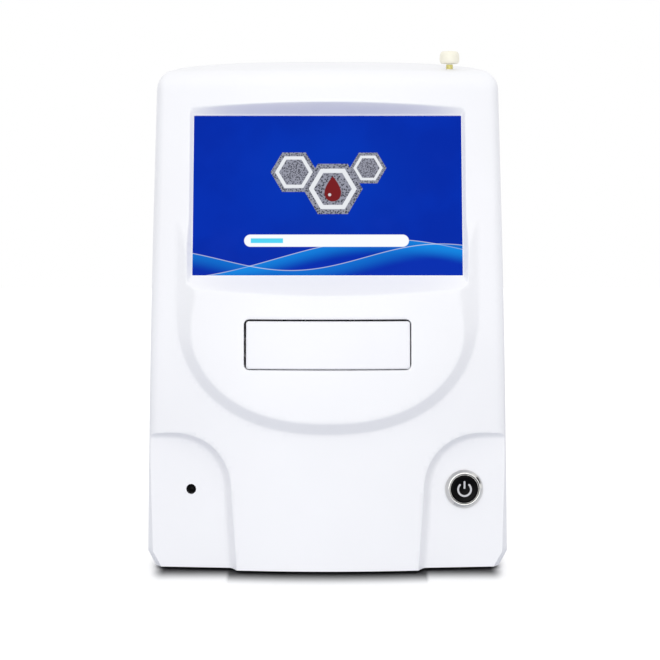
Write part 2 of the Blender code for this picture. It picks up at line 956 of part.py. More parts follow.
def screen():
    frame = window_frame()
    front = -(window_lip + gap)
    back = front - glass_thickness
    shape = rounded(window_width + 2 * glass_margin, window_height + 2 * glass_margin, glass_corner)
    prism("touch_glass", shape, back, front, "Z", black_glass, frame)
    margin = 2 * display_margin
    front = back - gap
    back = front - display_thickness
    shape = rounded(window_width + margin, window_height + margin, window_corner)
    prism("display_panel", shape, back, front, "Z", dark_panel, frame)
    floor = back - gap - bracket_thickness
    width, height = window_width + 2 * bracket_margin, window_height + 2 * bracket_margin
    bracket = prism("display_bracket", rounded(width, height, glass_corner), floor, front, "Z", steel, frame)
    hollow = rounded(window_width + margin + 2 * gap, window_height + margin + 2 * gap, window_corner)
    cut(bracket, prism("tray", hollow, back - gap, front + overrun, "Z", place=frame))
    board_width, board_height = window_width * display_board_share, window_height * display_board_share
    x, y = board_width / 2 - board_hole_inset, board_height / 2 - board_hole_inset
    low, high = floor - display_board_standoff, floor + bracket_thickness / 2
    for corner in ((-x, -y), (x, -y), (-x, y), (x, y)):
        boss = cylinder("boss", display_boss_radius, low, high, place=frame @ at(*corner, 0))
        join(bracket, boss)
    shape = rounded(board_width, board_height, window_corner)
    prism("display_board", shape, low - gap - board_thickness, low - gap, "Z", board_green, frame)


# Drawer

def drawer_panel():
    front = panel_form("drawer_front", 0.0)
    front.data.materials.append(white_front)
    keep(front, doorway("drawer_outline", 0.0, front_y + drawer_front_setback))
    return set_origin(smooth(tidy(front)), 0, front_y, drawer_middle_z)


def tray_plan():
    # The plate round the disc, then two arms that reach back past the spindle.
    front = front_y + drawer_front_setback + gap
    plate_back = front + tray_length
    back = plate_back + arm_length
    half, slot = tray_width / 2, hub_slot_width / 2
    inner = half - arm_width
    return [(-half, front), (half, front), (half, back), (inner, back), (inner, plate_back),
            (slot, plate_back), *arc((0, disc_y), slot, 0, -180, small_segments), (-slot, plate_back),
            (-inner, plate_back), (-inner, back), (-half, back)]


def drawer_tray():
    plan = tray_plan()
    tray = prism("drawer_tray", plan, tray_bottom, tray_top, "Z", acetal)
    end = plan[2][1]
    low = tongue_middle_z - tongue_height / 2
    for side in (-1, 1):
        half = tray_width / 2
        reach = sorted((side * (half - tongue_depth), side * (half + tongue_depth)))
        start = front_y + rail_start + running_gap
        tongue = box("tongue", (reach[0], start, low), (reach[1], end - gap, low + tongue_height))
        join(tray, tongue)
    disc = at(0, disc_y, 0)
    cut(tray, cylinder("disc_recess", disc_radius, disc_floor, tray_top + overrun, recess_segments,
                       place=disc))
    front = disc_y - disc_radius
    finger = cylinder("finger_notch", finger_radius, disc_floor - finger_drop, tray_top + overrun,
                      middle_segments, place=at(0, front, 0))
    cut(tray, finger)
    return set_origin(smooth(tidy(tray)), 0, front_y, drawer_middle_z)


def drawer_rails():
    # A web on the deck and a channel that the tray's tongue slides in.
    names = {-1: "drawer_rail_left", 1: "drawer_rail_right"}
    start = front_y + rail_start
    inner = tray_width / 2 + running_gap
    groove = inner + tongue_depth
    outer = groove + rail_wall
    low = tongue_middle_z - tongue_height / 2 - running_gap
    high = tongue_middle_z + tongue_height / 2 + running_gap
    foot = deck_top + gap
    for side, name in names.items():
        top, lip = high + rail_wall / 2, low - rail_wall / 2
        outline = [(groove, foot), (outer, foot), (outer, top), (inner, top), (inner, high),
                   (groove, high), (groove, low), (inner, low), (inner, lip), (groove, lip)]
        outline = [(side * x, z) for x, z in outline]
        prism(name, outline, start, start + rail_length, "Y", acetal)


# Rack and pinion

pitch_radius = tooth_module * pinion_teeth / 2
tooth_pitch = math.pi * tooth_module
tooth_foot = tooth_foot_share * tooth_module
pressure_share = math.tan(math.radians(pressure_angle))
rack_teeth = math.ceil(drawer_travel / tooth_pitch) + 2 * rack_lead_teeth + 1
rack_pitch_z = tray_bottom - gap - rack_height + tooth_module
pinion_y = front_y + pinion_setback
pinion_z = rack_pitch_z - pitch_radius
gear_low = rack_side_x - pinion_width / 2


def drawer_rack():
    top = tray_bottom - gap
    crest = rack_pitch_z - tooth_module
    root = rack_pitch_z + tooth_foot
    half = tooth_pitch / 4 - backlash
    tip, base = half - tooth_module * pressure_share, half + tooth_foot * pressure_share
    start = pinion_y - (rack_lead_teeth + 0.5) * tooth_pitch
    end = start + rack_teeth * tooth_pitch
    outline = [(end, top), (start, top), (start, root)]
    for i in range(rack_teeth):
        y = start + (i + 0.5) * tooth_pitch
        outline += [(y - base, root), (y - tip, crest), (y + tip, crest), (y + base, root)]
    outline.append((end, root))
    side = rack_width / 2
    rack = prism("drawer_rack", outline, rack_side_x - side, rack_side_x + side, "X", acetal)
    return set_origin(rack, 0, front_y, drawer_middle_z)


def involute(angle):
    return math.tan(angle) - angle


def drive_pinion():
    pressure = math.radians(pressure_angle)
    base_radius = pitch_radius * math.cos(pressure)
    root_radius = pitch_radius - tooth_foot
    tip_radius = pitch_radius + tooth_module
    half = math.pi / (2 * pinion_teeth) + involute(pressure) - backlash / pitch_radius
    flank = [(root_radius, half), (base_radius, half)]
    for radius in (pitch_radius, tip_radius):
        flank.append((radius, half - involute(math.acos(base_radius / radius))))
    outline = []
    for i in range(pinion_teeth):
        # A gap between two teeth points up, where the rack's tooth stands at rest.
        middle = math.pi / 2 + (i + 0.5) * 2 * math.pi / pinion_teeth
        for radius, angle in flank:
            outline.append((radius * math.cos(middle - angle), radius * math.sin(middle - angle)))
        for radius, angle in reversed(flank):
            outline.append((radius * math.cos(middle + angle), radius * math.sin(middle + angle)))
    spot = at(0, pinion_y, pinion_z)
    gear = prism("drive_pinion", outline, gear_low, gear_low + pinion_width, "X", acetal, spot)
    shaft = cylinder("shaft", drive_shaft_radius, gear_low - pinion_shaft_length, gear_low + pinion_width / 2,
                     small_segments, place=spot @ along_x)
    return join(gear, shaft)


def drive_motor():
    # A gear motor on an upright plate that stands on the deck, with a bore for the pinion's shaft.
    spot = at(0, pinion_y, pinion_z) @ along_x
    face = gear_low - running_gap
    motor = cylinder("drive_motor", drive_motor_radius, face - drive_plate - drive_motor_length,
                     face - drive_plate / 2, middle_segments, steel, spot)
    half = drive_plate_width / 2
    high = pinion_z + drive_motor_radius - sheet
    low = (face - drive_plate, pinion_y - half, deck_top + gap)
    join(motor, box("plate", low, (face, pinion_y + half, high)))
    bore = drive_shaft_radius + backlash
    low = gear_low - pinion_shaft_length - running_gap
    return smooth(cut(motor, cylinder("bore", bore, low, face + overrun, small_segments, place=spot)))


# Chassis

def chassis():
    half = chassis_width / 2
    foot = plate_top + gap
    inner = half - chassis_foot_width
    right = [(0, deck_top), (half, deck_top), (half, foot), (inner, foot), (inner, foot + sheet),
             (half - sheet, foot + sheet), (half - sheet, deck_top - sheet)]
    outline = right + [(-x, z) for x, z in right[:0:-1]]
    start = front_y + chassis_setback
    frame = prism("chassis", outline, start, start + chassis_length, "Y", steel)
    leg_start = start + chassis_leg_setback
    leg_end = leg_start + chassis_leg_length
    reach = half + overrun
    ends = ((start - overrun, leg_start), (leg_end, start + chassis_length + overrun))
    for near, far in ends:
        cut(frame, box("leg_notch", (-reach, near, -overrun), (reach, far, deck_top - 2 * sheet)))
    middle = (leg_start + leg_end) / 2
    outline = rounded(chassis_window_length, chassis_window_height, 4 * sheet, (middle, deck_top / 2))
    cut(frame, prism("leg_window", outline, -reach, reach, "X"))
    cut(frame, cylinder("spindle_hole", deck_hole_radius, deck_top - 2 * sheet, deck_top + overrun,
                        round_segments, place=at(0, disc_y, 0)))
    y = disc_y + disc_radius - optics_arm / 2
    cut(frame, cylinder("light_hole", light_path_radius, deck_top - 2 * sheet, deck_top + overrun,
                        small_segments, place=at(0, y, 0)))
    return frame


# Spindle and lift

hub_bottom = hub_top - hub_height
spindle_motor_top = hub_bottom - running_gap
carriage_top = spindle_motor_top - spindle_motor_height - gap
carriage_bottom = carriage_top - carriage_thickness


def spindle():
    spot = at(0, disc_y, 0)
    shoulder = hub_bottom + hub_height / 2
    chamfer = hub_neck_radius / 4
    profile = [(0, hub_bottom), (hub_radius, hub_bottom), (hub_radius, shoulder), (hub_neck_radius, shoulder),
               (hub_neck_radius, hub_top - chamfer), (hub_neck_radius - chamfer, hub_top), (0, hub_top)]
    smooth(turned("spindle_hub", profile, middle_segments, steel, spot))
    smooth(cylinder("spindle_motor", spindle_motor_radius, carriage_top + gap, spindle_motor_top,
                    middle_segments, black_plastic, spot))


def lift():
    outline = rounded(carriage_width, carriage_depth, bush_radius, (0, disc_y), 3)
    carriage = prism("lift_carriage", outline, carriage_bottom, carriage_top, "Z", grey_plastic)
    set_origin(carriage, 0, disc_y, carriage_top)
    bridge_bottom = bridge_top - bridge_thickness
    bridge = prism("lift_bridge", outline, bridge_bottom, bridge_top, "Z", steel)
    for side, word in ((-1, "left"), (1, "right")):
        spot = at(side * guide_spacing / 2, disc_y, 0)
        join(carriage, cylinder("bush", bush_radius, carriage_top - bush_height, carriage_bottom + gap,
                                small_segments, place=spot))
        bore = guide_radius + backlash
        cut(carriage, cylinder("bore", bore, carriage_top - bush_height - overrun, carriage_top + overrun,
                               small_segments, place=spot))
        smooth(cylinder(f"guide_pin_{word}", guide_radius, bridge_top + gap, deck_top - sheet - gap,
                        small_segments, steel, spot))
    spot = at(0, disc_y, 0)
    hole = plunger_radius + gap
    cut(bridge, cylinder("plunger_hole", hole, bridge_bottom - overrun, bridge_top + overrun, small_segments,
                         place=spot))
    half = actuator_width / 2
    top = bridge_bottom - gap
    actuator = box("lift_actuator", (-half, disc_y - half, top - actuator_height), (half, disc_y + half, top),
                   black_plastic)
    low = top - plunger_engagement - lift_travel - plunger_radius
    cut(actuator, cylinder("bore", hole, low, top + overrun, small_segments, place=spot))
    smooth(cylinder("lift_plunger", plunger_radius, top - plunger_engagement, carriage_bottom - gap,
                    small_segments, steel, spot))


# Optics

def optics():
    # A C that reaches over and under the tray's slot, so that light crosses the disc's rim.
    low = deck_top + gap
    under = tray_bottom - optics_clearance
    over = tray_top + optics_clearance
    high = over + optics_arm
    rim = disc_y + disc_radius - optics_arm / 2
    spine = front_y + drawer_front_setback + tray_length + optics_clearance
    front = rim - optics_arm
    back = spine + optics_spine
    outline = [(front, low), (back, low), (back, high), (front, high), (front, over), (spine, over),
               (spine, under), (front, under)]
    half = optics_width / 2
    bracket = prism("optics_bracket", outline, -half, half, "X", black_plastic)
    spot = at(0, rim, 0)
    cut(bracket, cylinder("light_path", light_path_radius, low - overrun, high + overrun, small_segments,
                          place=spot))
    smooth(cylinder("light_source", light_radius, high + gap, high + light_height, middle_segments, brass,
                    spot))
    recess = under - detector_height
    seat = detector_radius + gap
    cut(bracket, cylinder("seat", seat, recess, under + overrun, middle_segments, place=spot))
    smooth(cylinder("photo_detector", detector_radius, recess + gap, under - gap, middle_segments,
                    black_glass, spot))


# Power button, window and pin

def power_button():
    frame = button_frame
    flange = button_bezel_height
    rim = (button_bezel_radius + button_bore_radius) / 2
    seat = -button_barrel_length
    profile = [(button_bore_radius, seat), (button_barrel_radius, seat), (button_barrel_radius, gap),
               (button_bezel_radius, gap), (button_bezel_radius, flange / 2), (rim, flange),
               (button_bore_radius, flange - button_cap_proud)]
    smooth(turned("power_ring", profile, round_segments, polished, frame))
    top = flange + button_cap_proud / 2
    radius = button_bore_radius - backlash
    low = top - button_cap_height
    profile = [(0, low), (radius, low), (radius, top - button_cap_proud), (radius - button_cap_proud, top),
               (radius / 2, top - button_dish / 2), (0, top - button_dish)]
    smooth(turned("power_cap", profile, round_segments, black_cap, frame))
    high = -wall - gap
    foot = high - nut_thickness
    nut = prism("power_nut", circle(nut_flats / math.sqrt(3), nut_sides), foot, high, "Z", steel, frame)
    hole = button_barrel_radius + backlash
    cut(nut, cylinder("nut_bore", hole, foot - overrun, high + overrun, round_segments, place=frame))
    low = low - button_travel - gap
    smooth(cylinder("power_switch", switch_radius, low - switch_length, low, middle_segments,
                    black_plastic, frame))


def indicator_lens():
    low = -wall - gap - lens_flange
    profile = [(0, low), (lens_flange_radius, low), (lens_flange_radius, low + lens_flange),
               (lens_radius, low + lens_flange), (lens_radius, -lens_recess), (0, -lens_recess)]
    return smooth(turned("indicator_lens", profile, small_segments, black_cap, lens_frame))


def pull_out_pin():
    spot = at(pin_x, pin_y, 0)
    under = pin_surface + pin_neck
    top = under + pin_head_height
    radius = pin_head_radius
    ease = pin_head_height / 4
    end = radius * pin_head_end_share
    profile = [(0, under), (end, under), (radius, under + ease), (radius, top - ease),
               (end, top - ease / 3), (0, top)]
    smooth(turned("stylus_head", profile, middle_segments, ivory, spot))
    low = pin_surface - pin_length
    neck = under - gap
    profile = [(0, low), (pin_radius / 2, low), (pin_radius, low + pin_tip), (pin_radius, neck), (0, neck)]
    smooth(turned("stylus_shaft", profile, small_segments, ochre, spot))
    bore, outer = pin_radius + gap, pin_radius + silo_wall
    high = pin_surface - gap
    seat = pin_surface - wall - gap
    foot = seat - silo_flange
    profile = [(bore, low), (outer, low - silo_wall), (outer, foot), (silo_flange_radius, foot),
               (silo_flange_radius, seat), (outer, seat), (outer, high), (bore, high)]
    smooth(turned("stylus_silo", profile, small_segments, grey_plastic, spot))


# Boards, module and sockets

board_low = plate_top + standoff_height + gap
board_high = board_low + board_thickness
socket_face = back_y - wall - gap + socket_clearance


def boards():
    x = half_width - board_side_margin
    back = back_y - board_setback_from_back
    box("main_board", (-x, back - main_board_depth, board_low), (x, back, board_high), board_green)
    outer = module_side_gap + wall - half_width
    inner = -chassis_width / 2 - module_side_gap
    front = front_y + module_setback - module_depth / 2
    box("power_module", (outer, front, plate_top + gap),
        (inner, front + module_depth, plate_top + module_height), black_plastic)


def sockets():
    low = board_high + gap
    face = socket_face
    half = jack_body / 2
    jack_z = low + half
    foot = (jack_x - half, face - jack_length, low)
    jack = box("dc_jack", foot, (jack_x + half, face - wall, low + jack_body), black_plastic)
    spot = at(jack_x, 0, jack_z) @ along_y
    join(jack, cylinder("barrel", jack_radius, face - 2 * wall, face, middle_segments, place=spot))
    cut(jack, cylinder("mouth", jack_bore, face - 3 * wall, face + overrun, middle_segments, place=spot))
    join(jack, cylinder("centre", jack_pin, face - 4 * wall, face - wall / 2, pin_segments, place=spot))
    for side, word in ((-1, "left"), (1, "right")):
        x = usb_x + side * usb_spacing / 2
        w, t = usb_width / 2, usb_wall
        foot, high = face - usb_length, low + usb_height
        port = box(f"usb_port_{word}", (x - w, foot, low), (x + w, face, high), steel)
        cut(port, box("mouth", (x - w + t, foot + t, low + t), (x + w - t, face + overrun, high - t)))
        middle = low + usb_height / 2
        ends = ((x - w + 3 * t, foot + t / 2, middle), (x + w - 3 * t, face - t, middle + usb_tongue / 2))
        join(port, box("tongue", *ends))
    half = lan_width / 2
    foot = (lan_x - half, face - lan_length, low)
    port = box("lan_port", foot, (lan_x + half, face, low + lan_height), steel)
    w, h = lan_mouth_width / 2, lan_mouth_height
    base = low + (lan_height - h) / 2
    cut(port, box("mouth", (lan_x - w, face - lan_mouth_depth, base), (lan_x + w, face + overrun, base + h)))


def rear_panel():
    back = back_y - wall - gap
    w, h = panel_plate_width / 2, panel_plate_height / 2
    low, high = (-w, back - panel_plate_thickness, panel_plate_z - h), (w, back, panel_plate_z + h)
    plate = box("rear_panel", low, high, steel)
    c = socket_clearance
    base = board_high + gap
    front = back - overrun
    spot = at(jack_x, 0, base + jack_body / 2) @ along_y
    cut(plate, cylinder("jack_hole", jack_radius + c, front, back + overrun, middle_segments, place=spot))
    for side in (-1, 1):
        x = usb_x + side * usb_spacing / 2
        cut(plate, box("usb_hole", (x - usb_width / 2 - c, front, base - c),
                       (x + usb_width / 2 + c, back + overrun, base + usb_height + c)))
    half = lan_width / 2 + c
    high = (lan_x + half, back + overrun, base + lan_height + c)
    cut(plate, box("lan_hole", (lan_x - half, front, base - c), high))
    return plate


# Fan

fan_back = back_y - wall - gap
fan_front = fan_back - fan_depth


def fan_frame():
    middle = at(0, 0, fan_z) @ along_y
    outline = rounded(fan_size, fan_size, fan_spoke, steps=2)
    frame = prism("fan_frame", outline, fan_front, fan_back, "Z", black_plastic, middle)
    cut(frame, cylinder("bore", fan_bore_radius, fan_front - overrun, fan_back + overrun, round_segments,
                        place=middle))
    behind = fan_front + fan_spoke_depth
    spokes = cylinder("hub_plate", fan_hub_radius, fan_front, behind, middle_segments, place=middle)
    reach = fan_bore_radius + fan_spoke / 2
    for turn in (0, math.pi / 2):
        half = fan_spoke / 2
        outline = [(-reach, -half), (reach, -half), (reach, half), (-reach, half)]
        place = middle @ Matrix.Rotation(turn + math.pi / 4, 4, "Z")
        join(spokes, prism("spoke", outline, fan_front, behind - gap, "Z", place=place))
    return smooth(join(frame, spokes))


def fan_rotor():
    middle = at(0, 0, fan_z) @ along_y
    low = fan_front + fan_spoke_depth + running_gap
    high = fan_back - running_gap
    rotor = cylinder("fan_rotor", fan_hub_radius, low, high, middle_segments, black_plastic, middle)
    half = (high - low) / (2 * math.sin(fan_blade_angle)) - fan_blade_thickness
    lean_cos, lean_sin = math.cos(fan_blade_angle), math.sin(fan_blade_angle)
    thick = fan_blade_thickness / 2
    tip = math.sqrt((fan_bore_radius - fan_tip_gap) ** 2 - (half * fan_tip_share * lean_cos) ** 2)
    for k in range(fan_blades):
        loops = []
        for radius, share in ((fan_hub_radius - fan_tip_gap, fan_root_share), (tip, fan_tip_share)):
            long = half * share
            loop = []
            for u, v in ((-long, -thick), (long, -thick), (long, thick), (-long, thick)):
                height = (low + high) / 2 + u * lean_sin + v * lean_cos
                loop.append((u * lean_cos - v * lean_sin, radius, height))
            loops.append(loop)
        place = middle @ Matrix.Rotation(2 * math.pi * k / fan_blades, 4, "Z")
        join(rotor, loft("blade", loops, place=place))
    return smooth(rotor)


# Printer

opening_x = lid_width / 2 + lid_gap
platen_y = lid_front + platen_inset
platen_z = casing_height + crown(0, platen_y) - platen_drop
tub_inner_front = lid_front + tub_front
lid_swing_reach = casing_height + crown(0, hinge_y) + lid_rise - hinge_z
tub_inner_back = hinge_y + lid_swing_reach + running_gap
tub_bottom = casing_height - tub_height
paper_y = lid_back - paper_radius - 2 * tub_wall
paper_z = tub_bottom + tub_wall + gap + paper_radius
ear_x = platen_width / 2 + gap


def printer_lid():
    lid = body_form("printer_lid", -lid_rise)
    lid.data.materials.append(white)
    cut(lid, body_form("under", lid_thickness))
    x = lid_width / 2
    low = (-x, lid_front, casing_height - top_rounding)
    keep(lid, box("lid_field", low, (x, hinge_y, 2 * casing_height)))
    slot = tub_wall + 2 * running_gap
    for side in (-1, 1):
        middle = side * (tub_x - tub_wall / 2)
        low = (middle - slot / 2, hinge_y - hinge_radius - running_gap, casing_height - top_rounding)
        cut(lid, box("ear_slot", low, (middle + slot / 2, hinge_y + overrun, 2 * casing_height)))
    reach = tub_x - tub_wall - running_gap
    barrel = at(0, hinge_y, hinge_z) @ along_x
    join(lid, cylinder("barrel", hinge_radius, -reach, reach, middle_segments, place=barrel))
    cut(lid, cylinder("bore", hinge_bore, -reach - overrun, reach + overrun, small_segments, place=barrel))
    high = casing_height + crown(ear_x, platen_y) - lid_thickness / 2
    for side in (-1, 1):
        ear = [(platen_y + hinge_radius, high), (platen_y - hinge_radius, high)]
        ear += arc((platen_y, platen_z), hinge_radius, 180, 360, pin_segments)
        near, far = sorted((side * ear_x, side * (ear_x + platen_ear)))
        join(lid, prism("ear", ear, near, far, "X"))
    bore = platen_shaft_radius + 2 * backlash
    join_x = ear_x + platen_ear + overrun
    spot = at(0, platen_y, platen_z) @ along_x
    cut(lid, cylinder("platen_bore", bore, -join_x, join_x, small_segments, place=spot))
    return set_origin(smooth(tidy(lid)), 0, hinge_y, hinge_z)


def paper_tub():
    tub = box("paper_tub", (-tub_x, tub_inner_front - tub_wall, tub_bottom),
              (tub_x, tub_inner_back + tub_wall, 2 * casing_height), grey_plastic)
    x = opening_x + tub_flange_depth
    front, back = lid_front - lid_gap - tub_flange_depth, lid_back + lid_gap + tub_flange_depth
    low = casing_height - tub_wall
    join(tub, box("flange", (-x, front, low), (x, back, 2 * casing_height)))
    keep(tub, body_form("under", wall + gap))
    inner = tub_x - tub_wall
    cut(tub, box("cavity", (-inner, tub_inner_front, tub_bottom + tub_wall),
                 (inner, tub_inner_back, 2 * casing_height)))
    foot = hinge_z - 2 * hinge_radius
    radius = hinge_radius - gap
    for side in (-1, 1):
        ear = [(hinge_y - radius, foot), (hinge_y + radius, foot)]
        ear += arc((hinge_y, hinge_z), radius, 0, 180, pin_segments)
        near, far = sorted((side * inner, side * tub_x))
        join(tub, prism("hinge_ear", ear, near, far, "X"))
    spot = at(0, hinge_y, hinge_z) @ along_x
    cut(tub, cylinder("pin_bore", hinge_bore, -tub_x - overrun, tub_x + overrun, small_segments, place=spot))
    return tidy(tub)


def printer_works():
    spot = at(0, hinge_y, hinge_z) @ along_x
    smooth(cylinder("lid_hinge_pin", hinge_pin_radius, -tub_x, tub_x, small_segments, steel, spot))
    spot = at(0, platen_y, platen_z) @ along_x
    half, end = platen_width / 2, ear_x + platen_ear
    profile = [(0, -end), (platen_shaft_radius, -end), (platen_shaft_radius, -half), (platen_radius, -half),
               (platen_radius, half), (platen_shaft_radius, half), (platen_shaft_radius, end), (0, end)]
    smooth(turned("platen_roller", profile, middle_segments, rubber, spot))
    spot = at(0, paper_y, paper_z) @ along_x
    half = paper_width / 2
    profile = [(paper_core_radius, -half), (paper_radius, -half), (paper_radius, half),
               (paper_core_radius, half)]
    smooth(turned("paper_roll", profile, round_segments, paper, spot))
    near = tub_inner_front + gap
    high = platen_z - platen_radius - gap
    half = paper_width / 2 - 2 * head_thickness / 3
    box("print_head", (-half, near, high - head_height), (half, near + head_thickness, high), black_plastic)


def build():
    front_cover()
    rear_cover()
    base_plate()
    feet()
    screen()
    drawer_panel()
    drawer_tray()
    drawer_rails()
    drawer_rack()
    drive_pinion()
    drive_motor()
    chassis()
    spindle()
    lift()
    optics()
    power_button()
    indicator_lens()
    pull_out_pin()
    boards()
    sockets()
    rear_panel()
    fan_frame()
    fan_rotor()
    printer_lid()
    paper_tub()
    printer_works()


build()
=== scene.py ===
import math

import bmesh
import bpy
import numpy as np
from mathutils import Matrix, Vector


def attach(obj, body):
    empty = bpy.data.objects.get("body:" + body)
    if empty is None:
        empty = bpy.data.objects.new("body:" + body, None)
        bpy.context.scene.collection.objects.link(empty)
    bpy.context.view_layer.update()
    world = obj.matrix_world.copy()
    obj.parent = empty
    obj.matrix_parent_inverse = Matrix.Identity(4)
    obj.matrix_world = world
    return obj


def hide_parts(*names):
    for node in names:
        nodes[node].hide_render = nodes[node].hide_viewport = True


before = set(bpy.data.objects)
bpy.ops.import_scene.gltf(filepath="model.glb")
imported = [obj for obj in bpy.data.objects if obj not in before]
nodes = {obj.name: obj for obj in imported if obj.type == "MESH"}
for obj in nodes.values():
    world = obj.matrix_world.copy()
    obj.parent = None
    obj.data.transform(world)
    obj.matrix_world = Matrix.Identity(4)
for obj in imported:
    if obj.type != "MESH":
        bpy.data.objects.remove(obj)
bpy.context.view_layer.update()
print("frame loaded:", len(nodes), "nodes")


# Shader tools: arithmetic on a wire adds Math nodes

class Wire:
    def __init__(self, finish, socket):
        self.finish = finish
        self.socket = socket

    def maths(self, operation, *others):
        values = dict(enumerate((self,) + others))
        return self.finish.add("ShaderNodeMath", {"operation": operation}, values)

    def __neg__(self):
        return self.maths("MULTIPLY", -1.0)

    def __abs__(self):
        return self.maths("ABSOLUTE")

    def held(self):
        return self.finish.add("ShaderNodeClamp", {}, {"Value": self})

    def ramp(self, low, high, start=0.0, end=1.0):
        sockets = {"Value": self, "From Min": low, "From Max": high, "To Min": start, "To Max": end}
        return self.finish.add("ShaderNodeMapRange", {"interpolation_type": "SMOOTHSTEP"}, sockets)


def operator(operation, turned=False):
    # one overloaded operator; a turned one has its wire on the right of the sign
    def made(self, other):
        first = self.finish.number(other) if turned else self
        return first.maths(operation, self if turned else other)
    return made


plainSigns = {"__add__": "ADD", "__radd__": "ADD", "__sub__": "SUBTRACT", "__mul__": "MULTIPLY", "__rmul__": "MULTIPLY",
              "__truediv__": "DIVIDE", "__pow__": "POWER", "__lt__": "LESS_THAN", "__gt__": "GREATER_THAN",
              "least": "MINIMUM", "most": "MAXIMUM"}
turnedSigns = {"__rsub__": "SUBTRACT", "__rtruediv__": "DIVIDE"}
for sign, operation in plainSigns.items():
    setattr(Wire, sign, operator(operation))
for sign, operation in turnedSigns.items():
    setattr(Wire, sign, operator(operation, True))


class Finish:
    def __init__(self, name):
        self.material = bpy.data.materials.new(name)
        self.material.use_nodes = True
        self.tree = self.material.node_tree
        self.shader = self.tree.nodes["Principled BSDF"]

    def link(self, target, value):
        if isinstance(value, Wire):
            self.tree.links.new(value.socket, target)
        else:
            target.default_value = value

    def add(self, kind, settings, sockets, out=0):
        node = self.tree.nodes.new(kind)
        for name, value in settings.items():
            setattr(node, name, value)
        for name, value in sockets.items():
            self.link(node.inputs[name], value)
        return Wire(self, node.outputs[out])

    def number(self, value):
        made = self.add("ShaderNodeValue", {}, {})
        made.socket.default_value = value
        return made

    def place(self, scale=(1.0, 1.0, 1.0), shift=(0.0, 0.0, 0.0)):
        start = self.add("ShaderNodeTexCoord", {}, {}, "Object")
        sockets = {"Vector": start, "Location": shift, "Scale": scale}
        return self.add("ShaderNodeMapping", {}, sockets)

    def beside(self, wire, out):
        # another output of the node that a wire comes from
        return Wire(self, wire.socket.node.outputs[out])

    def parts(self, vector):
        first = self.add("ShaderNodeSeparateXYZ", {}, {"Vector": vector})
        return [self.beside(first, i) for i in range(3)]

    def noise(self, scale, detail=3.0, rough=0.55, vector=None):
        sockets = {"Vector": vector or self.place(), "Scale": scale, "Detail": detail, "Roughness": rough}
        return self.add("ShaderNodeTexNoise", {}, sockets)

    def cells(self, scale, **settings):
        return self.add("ShaderNodeTexVoronoi", settings, {"Vector": self.place(), "Scale": scale})

    def mix(self, share, first, second):
        settings = {"data_type": "RGBA", "clamp_factor": True}
        return self.add("ShaderNodeMix", settings, {0: share, 6: first, 7: second}, 2)

    def bump(self, height, strength, distance, below=None):
        sockets = {"Height": height, "Strength": strength, "Distance": distance}
        if below:
            sockets["Normal"] = below
        return self.add("ShaderNodeBump", {}, sockets)

    def set(self, **sockets):
        # camelCase names stand for the shader's own socket names
        for name, value in sockets.items():
            words = "".join(" " + letter if letter.isupper() else letter for letter in name)
            words = words.strip().title().replace("Ior", "IOR")
            self.link(self.shader.inputs[words], value)
        return self


def color(red, green, blue):
    # a colour as the screen shows it, 0 to 255, made linear
    def linear(value):
        value = value / 255
        return value / 12.92 if value <= 0.04045 else ((value + 0.055) / 1.055) ** 2.4
    return (linear(red), linear(green), linear(blue), 1.0)


def mouldedPlastic(name, tint, rough=0.34, grain=0.00002, wear=0.02):
    # glossy moulded plastic: fine grain, slow change of tint and gloss, slight flow waves
    made = Finish(name)
    slow = made.noise(9.0, 2.0)
    fine = made.noise(2600.0, 1.0, 0.5)
    patches = made.noise(60.0, 3.0)
    darker = tuple(part * (1 - wear) for part in tint[:3]) + (1.0,)
    base = made.mix(slow.ramp(0.35, 0.65), tint, darker)
    gloss = rough + (patches - 0.5) * 0.08
    waves = made.bump(slow, 0.06, 0.0006)
    return made.set(BaseColor=base, Roughness=gloss, Normal=made.bump(fine, 0.35, grain, waves))


def sheetSteel(name, tint, rough=0.36):
    # zinc-plated steel: large pale crystals under fine rolling lines
    made = Finish(name)
    shade = made.parts(made.beside(made.cells(260.0), "Color"))[0]
    lines = made.noise(40.0, 3.0, 0.6, made.place((1.0, 60.0, 60.0)))
    stains = made.noise(22.0, 4.0)
    pale = tuple(min(part * 1.18, 1.0) for part in tint[:3]) + (1.0,)
    base = made.mix((shade * 0.6 + stains * 0.4).held(), tint, pale)
    gloss = rough + (shade - 0.5) * 0.12 + (stains - 0.5) * 0.18
    return made.set(BaseColor=base, Metallic=1.0, Roughness=gloss, Normal=made.bump(lines, 0.12, 0.00005))


def turnedMetal(name, tint, rough=0.2, ring=900.0):
    # turned or polished metal with very fine tool marks and a few handling smears
    made = Finish(name)
    marks = made.noise(ring, 2.0, 0.5)
    smears = made.noise(70.0, 4.0)
    dull = tuple(part * 0.86 for part in tint[:3]) + (1.0,)
    base = made.mix(smears.ramp(0.45, 0.7), tint, dull)
    return made.set(BaseColor=base, Metallic=1.0, Roughness=rough + (smears - 0.5) * 0.10,
                    Normal=made.bump(marks, 0.08, 0.00002))


def mattPlastic(name, tint, rough=0.5, scale=1400.0, rise=0.00005):
    # spark-eroded matt plastic: pebbled grain, lighter where it is rubbed
    made = Finish(name)
    pebbles = made.cells(scale, feature="SMOOTH_F1")
    slow = made.noise(35.0, 4.0)
    rubbed = tuple(min(part * 1.25 + 0.006, 1.0) for part in tint[:3]) + (1.0,)
    base = made.mix(slow.ramp(0.4, 0.7), tint, rubbed)
    return made.set(BaseColor=base, Roughness=rough + (slow - 0.5) * 0.16, Normal=made.bump(pebbles, 0.3, rise))


